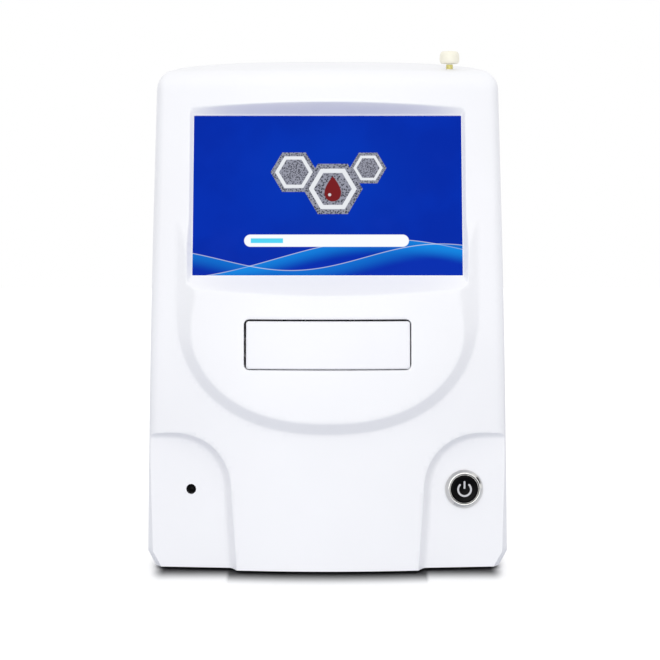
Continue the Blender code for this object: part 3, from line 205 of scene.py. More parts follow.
def rubberFinish(name):
    made = Finish(name)
    dust = made.noise(90.0, 5.0, 0.7)
    fine = made.noise(1800.0, 2.0)
    base = made.mix(dust.ramp(0.5, 0.75), color(38, 38, 40), color(66, 65, 64))
    return made.set(BaseColor=base, Roughness=0.78 + (dust - 0.5) * 0.2, Normal=made.bump(fine, 0.4, 0.00006))


rollShift = (0.0, -0.0304, -0.2620)


def paperFinish(name):
    # wound thermal paper: fibres, and fine layer lines that go round the axis at its ends
    made = Finish(name)
    x, y, z = made.parts(made.place(shift=rollShift))
    far = (y * y + z * z) ** 0.5
    turns = (far * 9000.0).maths("SINE") * 0.5 + 0.5
    fibres = made.noise(900.0, 4.0, 0.7, made.place((1.0, 0.3, 0.3)))
    tint = made.mix((fibres * 0.5 + turns * 0.35).held(), color(244, 243, 238), color(226, 225, 219))
    return made.set(BaseColor=tint, Roughness=0.72 + (fibres - 0.5) * 0.2, Normal=made.bump(turns, 0.25, 0.00003))


def boardFinish(name, ground, trace):
    # solder mask over copper: straight traces in two directions, round pads, weave beneath
    made = Finish(name)
    x, y, z = made.parts(made.place())
    choice = made.parts(made.beside(made.cells(95.0, distance="CHEBYCHEV"), "Color"))[0]
    alongX = (y * 3600.0).maths("SINE").ramp(0.55, 0.75) * (choice > 0.45)
    alongY = (x * 3600.0).maths("SINE").ramp(0.55, 0.75) * (choice < 0.30)
    dots = 1.0 - made.cells(240.0).ramp(0.16, 0.20)
    copper = (alongX + alongY).held()
    weave = made.noise(1500.0, 2.0)
    base = made.mix(copper, ground, trace)
    base = made.mix(dots * (choice > 0.6), base, color(196, 190, 170))
    height = copper * 0.6 + dots * 0.4 + weave * 0.15
    gloss = 0.38 - copper * 0.10 + (weave - 0.5) * 0.1
    return made.set(BaseColor=base, Roughness=gloss, Normal=made.bump(height, 0.3, 0.00006))


finishes = {
    "housing": mouldedPlastic("whiteHousing", color(246, 246, 248)),
    "drawer": mouldedPlastic("whiteDrawer", color(243, 243, 246), 0.32),
    "steel": sheetSteel("zincSteel", color(176, 178, 182)),
    "polished": turnedMetal("polishedRing", color(222, 221, 218), 0.13),
    "blackCap": mouldedPlastic("blackCap", color(4, 4, 5), 0.22, 0.00001, 0.1),
    "blackPlastic": mattPlastic("blackPlastic", color(38, 38, 41)),
    "motor": mattPlastic("motorPaint", color(46, 47, 50), 0.38, 2200.0, 0.00003),
    "ivory": mouldedPlastic("ivoryKnob", color(250, 246, 228), 0.36, 0.00002, 0.04),
    "yellow": mouldedPlastic("yellowStem", color(236, 226, 140), 0.40, 0.00002, 0.08),
    "acetal": mouldedPlastic("whiteAcetal", color(232, 232, 228), 0.42, 0.00004, 0.03),
    "grey": mattPlastic("greyPlastic", color(120, 122, 126), 0.48),
    "brass": turnedMetal("turnedBrass", color(206, 176, 112), 0.26),
    "board": boardFinish("boardGreen", color(28, 92, 52), color(52, 122, 72)),
    "rubber": rubberFinish("footRubber"),
    "paper": paperFinish("rollPaper"),
    "symbol": mouldedPlastic("greySymbol", color(206, 206, 208), 0.35, 0.00001, 0.08),
}
finishes["blackCap"].shader.inputs["Specular IOR Level"].default_value = 0.06
slotFinish = {
    "white_housing": "housing", "white_drawer": "drawer", "sheet_steel": "steel", "polished_ring": "polished",
    "black_cap": "blackCap", "black_plastic": "blackPlastic", "motor_black": "motor", "ivory_knob": "ivory",
    "yellow_stem": "yellow", "white_acetal": "acetal", "grey_plastic": "grey", "brass": "brass",
    "board_green": "board", "rubber": "rubber", "paper": "paper", "display_panel": "blackPlastic",
    "screen_glass": "blackCap",
}
for item in nodes.values():
    for place in item.material_slots:
        known = place.material.name.split(".")[0]
        place.material = finishes[slotFinish[known]].material
print("finishes ready:", len(finishes))


# Mesh tools

def shadeSmooth(shape, flat):
    # smooth faces, but sharp edges where they meet at more than an angle
    for face in shape.faces:
        face.smooth = True
    for edge in shape.edges:
        edge.smooth = len(edge.link_faces) == 2 and edge.calc_face_angle(0.0) < math.radians(flat)


def newPiece(name, shape, finish, flat=38.0):
    # a bmesh becomes an object at the origin
    shadeSmooth(shape, flat)
    data = bpy.data.meshes.new(name)
    shape.to_mesh(data)
    shape.free()
    piece = bpy.data.objects.new(name, data)
    bpy.context.scene.collection.objects.link(piece)
    data.materials.append(finish.material)
    return piece


def points(shape):
    return np.array([vert.co for vert in shape.verts])


def score(shape, line, where=None, level=0.0):
    # cuts the faces of a sheet along the line on which a value of the place is zero
    shape.verts.ensure_lookup_table()
    place = points(shape)
    value = line(place) - level
    inside = np.ones(len(place), bool) if where is None else where(place)
    verts = list(shape.verts)
    known = {vert: value[i] for i, vert in enumerate(verts)}
    allowed = {vert for i, vert in enumerate(verts) if inside[i]}
    touched = set()
    for edge in list(shape.edges):
        first, second = edge.verts
        if first not in allowed or second not in allowed:
            continue
        a, b = known[first], known[second]
        if a * b >= 0:
            continue
        share = a / (a - b)
        if share < 0.03:
            known[first] = 0.0
            touched.update(first.link_faces)
        elif share > 0.97:
            known[second] = 0.0
            touched.update(second.link_faces)
        else:
            faces = list(edge.link_faces)
            vert = bmesh.utils.edge_split(edge, first, share)[1]
            known[vert] = 0.0
            allowed.add(vert)
            touched.update(faces)
    for face in list(touched):
        splitFace(face, known)


def splitFace(face, known):
    if not face.is_valid:
        return
    ring = list(face.verts)
    marks = [i for i, vert in enumerate(ring) if known.get(vert, 1.0) == 0.0]
    for i, j in zip(marks, marks[1:] + marks[:1]):
        gap = (j - i) % len(ring)
        if gap < 2 or len(ring) - gap < 2:
            continue
        between = known.get(ring[(i + 1) % len(ring)], 0.0)
        beyond = known.get(ring[(j + 1) % len(ring)], 0.0)
        if between * beyond < 0:
            made = bmesh.utils.face_split(face, ring[i], ring[j])
            if len(marks) > 2 and made[0]:
                splitFace(face, known)
                splitFace(made[0], known)
            return


def scoreAll(shape, line, levels, where=None):
    for level in levels:
        score(shape, line, where, level)


def ruleLines(shape, axis, middle, offsets, where):
    # straight lines across a sheet on both sides of a middle, so that small corners keep their shape
    levels = [middle + side * offset for offset in offsets for side in (-1, 1)]
    scoreAll(shape, lambda place: place[:, axis], levels, where)


def cutAway(shape, gone):
    # removes the faces whose every corner is marked
    shape.verts.index_update()
    doomed = [face for face in shape.faces if all(gone[vert.index] for vert in face.verts)]
    bmesh.ops.delete(shape, geom=doomed, context="FACES")


def bridge(shape, rows, closed=False):
    # faces between each row of vertices and the next
    made = []
    for near, far in zip(rows, rows[1:]):
        for i in range(len(near) - (not closed)):
            j = (i + 1) % len(near)
            made.append(shape.faces.new((near[i], near[j], far[j], far[i])))
    return made


def boundary(shape, test):
    # edges with one face, chosen by their middle
    rims = [edge for edge in shape.edges if len(edge.link_faces) == 1]
    return [edge for edge in rims if test((edge.verts[0].co + edge.verts[1].co) / 2)]


def drawOut(shape, edges, move):
    # new faces from a rim of edges, each new vertex placed by move(old place)
    made = bmesh.ops.extrude_edge_only(shape, edges=edges)
    for item in made["geom"]:
        if isinstance(item, bmesh.types.BMVert):
            item.co = move(item.co)


def triangulated(shape):
    large = [face for face in shape.faces if len(face.verts) > 4]
    bmesh.ops.triangulate(shape, faces=large, quad_method="BEAUTY", ngon_method="BEAUTY")
    return shape


def apply(piece):
    # the piece takes on what its modifiers make
    graph = bpy.context.evaluated_depsgraph_get()
    data = bpy.data.meshes.new_from_object(piece.evaluated_get(graph))
    piece.modifiers.clear()
    piece.data = data
    return piece


def thicken(piece, depth):
    wall = piece.modifiers.new("wall", "SOLIDIFY")
    wall.thickness = depth
    wall.offset = -1.0
    wall.use_even_offset = False
    wall.use_quality_normals = True
    return apply(piece)


def softMost(a, b, reach):
    near = np.maximum(reach - np.abs(a - b), 0.0) / reach
    return np.maximum(a, b) + near * near * reach / 4


def softLeast(a, b, reach):
    return -softMost(-a, -b, reach)


def roundedReach(x, y, half, high, corner):
    # distance from a rounded rectangle about the origin, less than zero inside it
    a = np.abs(x) - half + corner
    b = np.abs(y) - high + corner
    outside = np.hypot(np.maximum(a, 0.0), np.maximum(b, 0.0))
    return outside + np.minimum(np.maximum(a, b), 0.0) - corner


# The casing's form: the solid's numbers, but for tighter front corners and a flatter crown

casing = {
    "width": 0.207, "depth": 0.250, "height": 0.288, "lift": 0.0015, "wall": 0.0026,
    "bowRadius": 0.340, "frontCorner": 0.0075, "backCorner": 0.016, "topRound": 0.012,
    "crownRise": 0.006, "crownMargin": 0.0265, "crownRun": 0.035, "crownPower": 3.2, "sideTaper": 0.0035,
    "bevelWidth": 0.0046, "bevelHeight": 0.0085, "partingMargin": 0.0315,
    "lowerSlope": 0.072, "upperSlope": 0.268, "bendStart": 0.088, "bendEnd": 0.208,
    "panelRise": 0.0065, "panelHalf": 0.0865, "panelDepth": 0.071, "panelSpringing": 0.150,
    "fadeStart": 0.118, "fadeEnd": 0.200, "panelPower": 2.3,
    "roundSteps": 7, "cornerSteps": 8, "seamDepth": 0.0004,
}
frontY = -casing["depth"] / 2
backY = casing["depth"] / 2
halfWidth = casing["width"] / 2
topEdge = casing["height"] - casing["topRound"]
bevelTop = casing["lift"] + casing["bevelHeight"]
panelFoot = casing["panelSpringing"] - casing["panelDepth"] + casing["panelRise"]


def smoothStep(share):
    share = np.clip(share, 0.0, 1.0)
    return share * share * (3 - 2 * share)


def bow(x, inset=0.0):
    radius = casing["bowRadius"] - inset
    return radius - np.sqrt(radius * radius - x * x)


def setback(z):
    bend = casing["bendEnd"] - casing["bendStart"]
    above = np.clip(z - casing["bendStart"], 0.0, bend)
    beyond = np.maximum(z - casing["bendEnd"], 0.0)
    extra = (casing["upperSlope"] - casing["lowerSlope"]) * (above * above / (2 * bend) + beyond)
    return casing["panelRise"] + casing["lowerSlope"] * (z - panelFoot) + extra


def panelProud(z):
    share = np.maximum(z - casing["fadeStart"], 0.0) / (casing["fadeEnd"] - casing["fadeStart"])
    return np.maximum(casing["panelRise"] * (1 - share * share), 0.0)


topFront = frontY + float(setback(casing["height"]))
partingY = topFront + casing["partingMargin"]


def crown(x, y):
    across = 1 - np.abs(x / halfWidth) ** casing["crownPower"]
    return casing["crownRise"] * across * smoothStep((y - topFront - casing["crownMargin"]) / casing["crownRun"])


def bodyHalf(z):
    taper = casing["sideTaper"] * (z - bevelTop) / (casing["height"] - bevelTop)
    bevel = casing["bevelWidth"] * (bevelTop - z) / casing["bevelHeight"]
    return np.where(z < bevelTop, halfWidth - bevel, halfWidth - taper)


def arcPoints(x, y, radius, start, end, steps):
    angle = np.radians(np.linspace(start, end, steps + 1))
    return np.stack([x + radius * np.cos(angle), y + radius * np.sin(angle)], 1)


def frontOutline(z, shrink, sideSteps, frontSteps):
    # one level line of the front cover, from the left parting line round the front to the right one
    half = float(bodyHalf(z)) - shrink
    front = frontY + float(setback(z)) + shrink
    radius = casing["bowRadius"] - shrink
    corner = max(casing["frontCorner"] - shrink, 0.0012)
    turn = math.asin((half - corner) / (radius - corner))
    angle = np.linspace(0.0, turn, frontSteps // 2 + 1)
    middle = np.stack([radius * np.sin(angle), front + radius - radius * np.cos(angle)], 1)
    cornerY = front + radius - (radius - corner) * math.cos(turn)
    bend = arcPoints(half - corner, cornerY, corner, math.degrees(turn) - 90, 0, casing["cornerSteps"])
    side = np.stack([np.full(sideSteps, half), np.linspace(cornerY, partingY, sideSteps + 1)[1:]], 1)
    right = np.concatenate([middle, bend[1:], side])
    return np.concatenate([right[:0:-1] * (-1.0, 1.0), right])


def backOutline(z, shrink, sideSteps, backSteps):
    # one level line of the rear cover, from the right parting line round the back to the left one
    half = float(bodyHalf(z)) - shrink
    back = backY - shrink
    corner = casing["backCorner"] - shrink
    start = partingY + 0.0003
    side = np.stack([np.full(sideSteps + 1, half), np.linspace(start, back - corner, sideSteps + 1)], 1)
    bend = arcPoints(half - corner, back - corner, corner, 0, 90, casing["cornerSteps"])
    flat = np.linspace(half - corner, 0.0, backSteps // 2 + 1)
    middle = np.stack([flat, np.full(len(flat), back)], 1)
    right = np.concatenate([side, bend[1:], middle[1:]])
    return np.concatenate([right, right[-2::-1] * (-1.0, 1.0)])


def casingSheet(outline, sideSteps, acrossSteps, step):
    # level lines up the body, the rounded top edge, and the crowned top joined to its ring
    shape = bmesh.new()
    count = round((topEdge - bevelTop) / step)
    levels = [casing["lift"], (casing["lift"] + bevelTop) / 2]
    levels += list(np.linspace(bevelTop, topEdge, count + 1))
    rows = []
    for z in levels:
        ring = outline(z, 0.0, sideSteps, acrossSteps)
        rows.append([shape.verts.new((x, y, z)) for x, y in ring])
    for i in range(1, casing["roundSteps"] + 1):
        angle = math.pi / 2 * i / casing["roundSteps"]
        shrink = casing["topRound"] * (1 - math.cos(angle))
        level = topEdge + casing["topRound"] * math.sin(angle)
        ring = outline(level, shrink, sideSteps, acrossSteps)
        rise = float(smoothStep(i / casing["roundSteps"]))
        rows.append([shape.verts.new((x, y, level + rise * float(crown(x, y)))) for x, y in ring])
    bridge(shape, rows)
    ring = rows[-1]
    last = len(ring) - 1
    inner = ring[sideSteps:last - sideSteps + 1]
    strips = [inner]
    for k in range(1, sideSteps + 1):
        start, end = ring[sideSteps - k], ring[last - sideSteps + k]
        share = k / sideSteps
        strip = [start]
        for vert in inner[1:-1]:
            x = vert.co.x
            y = vert.co.y + (start.co.y - vert.co.y) * share
            strip.append(shape.verts.new((x, y, casing["height"] + float(crown(x, y)))))
        strips.append(strip + [end])
    bridge(shape, strips)
    return shape


def seamGroove(shape, y, width):
    # both covers' edges turn in a little where they meet
    score(shape, lambda place: place[:, 1], None, y + width)
    for vert in shape.verts:
        if abs(vert.co.y - y) < 1e-5:
            if vert.co.z > topEdge:
                vert.co.z -= casing["seamDepth"]
            if abs(vert.co.x) > halfWidth - 0.012:
                vert.co.x -= math.copysign(casing["seamDepth"], vert.co.x)


# Front cover: proud panel, pockets, screen recess and doorway

pocket = {"footX": 0.0548, "sideX": 0.0578, "springing": 0.044, "top": 0.0770, "shoulderX": 0.0920,
          "power": 2.3, "draft": 0.36, "yaw": 0.11, "middleX": 0.0783, "middleZ": 0.0462, "setback": 0.0192,
          "edgeBand": 0.0032, "soft": 0.0007, "footSoft": 0.0050}
window = {"width": 0.1555, "topZ": 0.2605, "footZ": 0.1684, "corner": 0.0004, "sink": 0.00312,
          "topRise": 0.0073, "topFall": 0.0031, "footRise": 0.0101, "footFall": 0.0036,
          "topLean": 0.268, "footLean": 0.20, "sideSlope": 0.80, "ledge": 0.0003,
          "lip": 0.0012, "soft": 0.0007, "footSoft": 0.0003, "cornerSoft": 0.0014}
doorway = {"width": 0.0936, "height": 0.0272, "middleZ": 0.1300, "corner": 0.0024, "gap": 0.0007,
           "edge": 0.0005, "depth": 0.0130}
panelEdge = {"soft": 0.0007, "gentleFrom": 0.120, "gentleTo": 0.165, "gentle": 0.42}
front = {"sideSteps": 20, "acrossSteps": 76, "step": 0.0027}
buttonPlace = Vector((pocket["middleX"], frontY + pocket["setback"], pocket["middleZ"]))
lensPlace = Vector((-pocket["middleX"], frontY + pocket["setback"], pocket["middleZ"]))
pinPlace = Vector((halfWidth - 0.0317, topFront + 0.0230, casing["height"]))
holes = [{"middle": buttonPlace, "radius": 0.0098, "axes": (0, 2)},
         {"middle": lensPlace, "radius": 0.0029, "axes": (0, 2)},
         {"middle": pinPlace, "radius": 0.0035, "axes": (0, 1)}]
tilt = math.atan(casing["upperSlope"])
window["middleZ"] = (window["topZ"] + window["footZ"]) / 2
window["height"] = (window["topZ"] - window["footZ"]) / math.cos(tilt)
window["y"] = frontY + float(setback(window["middleZ"]) + bow(window["width"] / 2)) + window["sink"]


def panelLine():
    # the outer line of the U: down the left, round the foot and up
    angle = np.linspace(0.0, math.pi, 241)
    swing, drop = np.cos(angle), np.sin(angle)
    power = 2 / casing["panelPower"]
    x = -np.sign(swing) * np.abs(swing) ** power * casing["panelHalf"]
    z = casing["panelSpringing"] - casing["panelDepth"] * drop ** power
    line = np.stack([x, z], 1)
    high = 0.3
    return np.concatenate([[[-casing["panelHalf"], high]], line, [[casing["panelHalf"], high]]])


def pocketLine():
    # the line of a pocket's floor, from below the foot round to the side
    across = pocket["shoulderX"] - pocket["sideX"]
    rise = pocket["top"] - pocket["springing"]
    lean = (pocket["sideX"] - pocket["footX"]) / pocket["springing"]
    angle = np.linspace(0.0, math.pi / 2, 61)
    power = 2 / pocket["power"]
    x = pocket["shoulderX"] - across * np.cos(angle) ** power
    z = pocket["springing"] + rise * np.sin(angle) ** power
    foot = [[pocket["footX"] - lean * 0.01, -0.01]]
    return np.concatenate([foot, np.stack([x, z], 1), [[halfWidth + 0.01, pocket["top"]]]])


def lineReach(x, z, line):
    # distance to a line of points, with the sign of the side on which a place lies
    place = np.stack([x, z], 1)[:, None, :]
    start, end = line[:-1][None], line[1:][None]
    along = end - start
    share = np.clip(((place - start) * along).sum(2) / (along * along).sum(2), 0.0, 1.0)
    offset = place - (start + along * share[..., None])
    far = np.hypot(offset[..., 0], offset[..., 1])
    nearest = far.argmin(1)
    rows = np.arange(len(x))
    side = along[0, nearest, 0] * offset[rows, nearest, 1] - along[0, nearest, 1] * offset[rows, nearest, 0]
    return far[rows, nearest] * np.sign(side)


panelPath = panelLine()
pocketPath = pocketLine()


def panelInside(place):
    # depth inside the U, with an edge that grows gentler towards the screen
    share = (place[:, 2] - panelEdge["gentleFrom"]) / (panelEdge["gentleTo"] - panelEdge["gentleFrom"])
    steep = 1 - (1 - panelEdge["gentle"]) * smoothStep(share)
    return lineReach(place[:, 0], place[:, 2], panelPath) * steep


def pocketFloorY(place):
    x, z = np.abs(place[:, 0]), place[:, 2]
    lean = casing["lowerSlope"] * (z - pocket["middleZ"])
    floor = frontY + pocket["setback"] + math.tan(pocket["yaw"]) * (x - pocket["middleX"]) + lean
    return floor + 1.6 * np.maximum(x - (bodyHalf(z) - pocketBand(z)), 0.0)


def pocketOutside(place):
    return lineReach(np.abs(place[:, 0]), place[:, 2], pocketPath)


def pocketWallY(place):
    return pocketFloorY(place) - pocketOutside(place) / pocket["draft"]


def pocketBand(z):
    return pocket["edgeBand"] * np.clip((pocket["top"] - z) / pocket["top"], 0.0, 1.0) + 0.0003


def pocketBackY(place):
    return softLeast(pocketWallY(place), pocketFloorY(place), pocket["footSoft"])


def windowFlat(place):
    # a place on the screen's plane, straight behind the given one
    return place[:, 0], (place[:, 2] - window["middleZ"]) / math.cos(tilt)


def windowReach(place):
    x, y = windowFlat(place)
    return roundedReach(x, y, window["width"] / 2, window["height"] / 2, window["corner"])


def windowFloorY(place):
    return window["y"] + math.tan(tilt) * (place[:, 2] - window["middleZ"])


def recessWalls(place):
    # the flared walls of the recess, as places behind each point of the front; upper and lower
    # walls are steeper in the middle, so that their outer edges bow less than the casing does
    x, z = np.abs(place[:, 0]), place[:, 2]
    wide = window["width"] / 2 + window["ledge"]
    held = np.minimum(x, wide)
    across = (held / wide) ** 2
    walls = []
    for end, side in (("top", 1), ("foot", -1)):
        edge = window[end + "Z"] + side * window["ledge"]
        floor = window["y"] + math.tan(tilt) * (edge - window["middleZ"])
        body = frontY + float(setback(edge) - panelProud(edge)) + bow(held)
        reach = window[end + "Rise"] - window[end + "Fall"] * across
        steep = (floor - body) / reach - side * window[end + "Lean"]
        walls.append(floor - steep * side * (z - edge))
    c, s = math.cos(tilt), math.sin(tilt)
    slope = window["sideSlope"]
    side = window["y"] + (slope * s * (z - window["middleZ"]) - (x - wide)) / (slope * c)
    return softLeast(walls[0], walls[1], 0.001), side


def recessWallY(place):
    level, side = recessWalls(place)
    return softLeast(level, side, window["cornerSoft"])


def recessBackY(place):
    return softLeast(recessWallY(place), windowFloorY(place), window["footSoft"])


def bodyAt(place):
    # the body's own front, or the proud panel where the U is
    inside = np.maximum(panelInside(place), 0.0)
    return place[:, 1] - np.minimum(inside, panelProud(place[:, 2]))


def holeReach(place, hole):
    # distance from a hole's wall, seen along its axis, and far where the face lies the other way
    first, second = hole["axes"]
    away = np.hypot(place[:, first] - hole["middle"][first], place[:, second] - hole["middle"][second])
    other = 3 - first - second
    return away - hole["radius"] + 10.0 * (np.abs(place[:, other] - hole["middle"][other]) > 0.03)


def doorwayReach(place):
    half, high = doorway["width"] / 2 + doorway["gap"], doorway["height"] / 2 + doorway["gap"]
    return roundedReach(place[:, 0], place[:, 2] - doorway["middleZ"], half, high, doorway["corner"] + doorway["gap"])


def frontSurface(place):
    # the finished front: the bowed body, brought forward in the U, pushed back in the recesses
    y = place[:, 1].copy()
    ahead = y < partingY - 0.004
    proud = panelProud(place[:, 2])
    inside = softMost(panelInside(place), np.zeros(len(y)), panelEdge["soft"])
    y = y - softLeast(inside, proud, np.minimum(proud * 0.5 + 1e-6, panelEdge["soft"]))
    y = softMost(y, pocketBackY(place), pocket["soft"])
    y = softMost(y, recessBackY(place), window["soft"])
    return np.where(ahead, y, place[:, 1])


def frontSkin():
    shape = casingSheet(frontOutline, front["sideSteps"], front["acrossSteps"], front["step"])
    seamGroove(shape, partingY, -0.0008)
    soft = panelEdge["soft"]
    low = lambda place: (place[:, 1] < partingY - 0.02) & (place[:, 2] < casing["fadeEnd"] + 0.004)
    scoreAll(shape, panelInside, (-soft, 0.0, soft), low)
    scoreAll(shape, lambda place: panelInside(place) - panelProud(place[:, 2]), (-soft, 0.0, soft), low)
    foot = lambda place: (place[:, 1] < partingY - 0.02) & (place[:, 2] < pocket["top"] + 0.006)
    soft = pocket["soft"]
    levels = [share * pocket["footSoft"] for share in (-1.0, -0.5, 0.0, 0.5, 1.0)]
    scoreAll(shape, lambda place: pocketWallY(place) - pocketFloorY(place), levels, foot)
    scoreAll(shape, lambda place: pocketBackY(place) - bodyAt(place), (-soft, 0.0, soft), foot)
    score(shape, lambda place: np.abs(place[:, 0]) - bodyHalf(place[:, 2]) + pocketBand(place[:, 2]), foot)
    high = lambda place: (place[:, 1] < partingY - 0.006) & (place[:, 2] > doorway["middleZ"] + 0.01)
    soft = window["soft"]
    scoreAll(shape, lambda place: recessBackY(place) - bodyAt(place), (-soft, 0.0, soft), high)
    scoreAll(shape, lambda place: windowFloorY(place) - recessWallY(place), (0.0, window["footSoft"]), high)
    inRecess = lambda place: high(place) & (recessWallY(place) > place[:, 1] - 0.012) & (np.abs(place[:, 0]) > 0.07)
    soft = window["cornerSoft"]
    scoreAll(shape, lambda place: recessWalls(place)[0] - recessWalls(place)[1], (-soft, 0.0, soft), inRecess)
    wide, tall = window["width"] / 2 - window["corner"], window["height"] / 2 * math.cos(tilt) - window["corner"]
    ruleLines(shape, 0, 0.0, (wide,), high)
    ruleLines(shape, 2, window["middleZ"], (tall,), high)
    score(shape, windowReach, high)
    wide, tall = doorway["width"] / 2, doorway["height"] / 2
    atDoor = lambda place: doorwayReach(place) < 0.006
    ruleLines(shape, 0, 0.0, (wide - 0.0024, wide - 0.0010, wide), atDoor)
    ruleLines(shape, 2, doorway["middleZ"], (tall - 0.0024, tall - 0.0010, tall), atDoor)
    scoreAll(shape, doorwayReach, (doorway["edge"], doorway["edge"] / 2, 0.0), low)
    for hole in holes:
        near = lambda place: holeReach(place, hole) < hole["radius"] + 0.006
        for share in (-1.3, -0.85, -0.45, 0.0, 0.45, 0.85, 1.3):
            for axis in hole["axes"]:
                score(shape, lambda place: place[:, axis], near, hole["middle"][axis] + share * hole["radius"])
        score(shape, lambda place: holeReach(place, hole), lambda place: holeReach(place, hole) < 0.02)
    place = points(shape)
    surface = frontSurface(place)
    edgeIn = np.clip(1 - doorwayReach(place) / doorway["edge"], 0.0, 1.0)
    surface = surface + doorway["edge"] * (edgeIn ** 2) * (place[:, 2] < casing["fadeEnd"])
    gone = [windowReach(place) + 10.0 * (place[:, 1] > partingY - 0.01), doorwayReach(place)]
    gone += [holeReach(place, hole) for hole in holes]
    gone = np.minimum.reduce(gone)
    for vert, y in zip(shape.verts, surface):
        vert.co.y = y
    cutAway(shape, gone < 1e-6)
    bmesh.ops.remove_doubles(shape, verts=shape.verts[:], dist=2e-6)
    bmesh.ops.dissolve_degenerate(shape, edges=shape.edges[:], dist=1e-6)
    triangulated(shape)
    rim = boundary(shape, lambda middle: abs(middle.z - doorway["middleZ"]) < 0.02 and abs(middle.x) < 0.05)
    back = frontY + doorway["depth"]
    drawOut(shape, rim, lambda old: Vector((old.x, back, old.z)))
    ahead = partingY - 0.005
    rim = boundary(shape, lambda middle: abs(middle.x) < 0.079 and 0.16 < middle.z < 0.265 and middle.y < ahead)
    inwards = Vector((0.0, math.cos(tilt), -math.sin(tilt))) * window["lip"]
    drawOut(shape, rim, lambda old: old + inwards)
    piece = newPiece("frontCoverSkin", shape, finishes["housing"])
    return thicken(piece, casing["wall"])


def dress(piece, body, slot, *replaced):
    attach(piece, body)
    if replaced:
        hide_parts(*replaced)
    print(piece.name, len(piece.data.polygons), "faces")
    return piece


dress(frontSkin(), "casing", "white_housing", "front_cover")


# Geometry Nodes recipes: what repeats is made by a tree with named inputs

class Recipe:
    def __init__(self, name, sizes):
        self.tree = bpy.data.node_groups.new(name, "GeometryNodeTree")
        for key, value in sizes.items():
            kind = "NodeSocketInt" if isinstance(value, int) else "NodeSocketFloat"
            self.tree.interface.new_socket(key, in_out="INPUT", socket_type=kind)
        self.tree.interface.new_socket("Geometry", in_out="OUTPUT", socket_type="NodeSocketGeometry")
        self.given = self.tree.nodes.new("NodeGroupInput").outputs
        self.out = self.tree.nodes.new("NodeGroupOutput")
        self.sizes = sizes

    def add(self, kind, settings=None, sockets=None, out=0):
        node = self.tree.nodes.new(kind)
        for name, value in (settings or {}).items():
            setattr(node, name, value)
        for name, value in (sockets or {}).items():
            if isinstance(value, bpy.types.NodeSocket):
                self.tree.links.new(value, node.inputs[name])
            else:
                node.inputs[name].default_value = value
        return node.outputs[out]

    def sum(self, operation, *values):
        return self.add("ShaderNodeMath", {"operation": operation}, dict(enumerate(values)))

    def joined(self, *shapes):
        node = self.tree.nodes.new("GeometryNodeJoinGeometry")
        for shape in reversed(shapes):
            self.tree.links.new(shape, node.inputs[0])
        return node.outputs[0]

    def vector(self, **axes):
        return self.add("ShaderNodeCombineXYZ", {}, axes)

    def make(self, name, shape, finish, place=None):
        # realized, given its material, and made a plain mesh; a place turns it to where it belongs
        real = self.add("GeometryNodeRealizeInstances", {}, {"Geometry": shape})
        dressed = self.add("GeometryNodeSetMaterial", {}, {"Geometry": real, "Material": finish.material})
        self.tree.links.new(dressed, self.out.inputs[0])
        piece = bpy.data.objects.new(name, bpy.data.meshes.new(name))
        bpy.context.scene.collection.objects.link(piece)
        steps = piece.modifiers.new("recipe", "NODES")
        steps.node_group = self.tree
        for item in self.tree.interface.items_tree:
            if item.in_out == "INPUT":
                steps[item.identifier] = self.sizes[item.name]
        apply(piece)
        if place is not None:
            piece.data.transform(place)
        return piece


def slotCutters(name, sizes, place):
    # a row of upright slots with round ends; in a round field the outer ones are shorter
    recipe = Recipe(name, sizes)
    given, add = recipe.given, recipe.add
    span = recipe.sum("MULTIPLY", given["pitch"], recipe.sum("SUBTRACT", given["count"], 1.0))
    start = recipe.vector(X=recipe.sum("MULTIPLY", span, -0.5))
    step = recipe.vector(X=given["pitch"])
    row = add("GeometryNodeMeshLine", {"mode": "OFFSET"},
              {"Count": given["count"], "Start Location": start, "Offset": step})
    outline = add("GeometryNodeCurvePrimitiveQuadrilateral", {},
                  {"Width": given["width"], "Height": given["length"]})
    radius = recipe.sum("MULTIPLY", given["width"], 0.48)
    eased = add("GeometryNodeFilletCurve", {"mode": "POLY"},
                {"Curve": outline, "Radius": radius, "Count": 5, "Limit Radius": True})
    flat = add("GeometryNodeFillCurve", {}, {"Curve": eased})
    risen = add("GeometryNodeExtrudeMesh", {},
                {"Mesh": flat, "Offset": recipe.vector(Z=given["depth"]), "Offset Scale": 1.0, "Individual": False})
    foot = add("GeometryNodeFlipFaces", {}, {"Mesh": flat})
    whole = add("GeometryNodeMergeByDistance", {}, {"Geometry": recipe.joined(risen, foot), "Distance": 1e-6})
    across = add("ShaderNodeSeparateXYZ", {}, {"Vector": add("GeometryNodeInputPosition")})
    squares = recipe.sum("SUBTRACT", recipe.sum("POWER", given["field"], 2.0), recipe.sum("POWER", across, 2.0))
    chord = recipe.sum("SUBTRACT", recipe.sum("SQRT", squares), given["width"])
    doubled = recipe.sum("MULTIPLY", chord, 2.0)
    share = recipe.sum("MINIMUM", recipe.sum("DIVIDE", doubled, given["length"]), 1.0)
    scale = recipe.vector(X=1.0, Y=share, Z=1.0)
    field = add("GeometryNodeInstanceOnPoints", {}, {"Points": row, "Instance": whole, "Scale": scale})
    return recipe.make(name, field, finishes["housing"], place)


def carve(piece, *cutters):
    for cutter in cutters:
        step = piece.modifiers.new("carve", "BOOLEAN")
        step.operation = "DIFFERENCE"
        step.solver = "EXACT"
        step.object = cutter
    apply(piece)
    for cutter in cutters:
        bpy.data.objects.remove(cutter)
    return piece


def sharpen(piece, flat=32.0):
    shape = bmesh.new()
    shape.from_mesh(piece.data)
    bmesh.ops.dissolve_degenerate(shape, edges=shape.edges[:], dist=1e-6)
    shadeSmooth(shape, flat)
    shape.to_mesh(piece.data)
    shape.free()
    return piece


# Rear cover

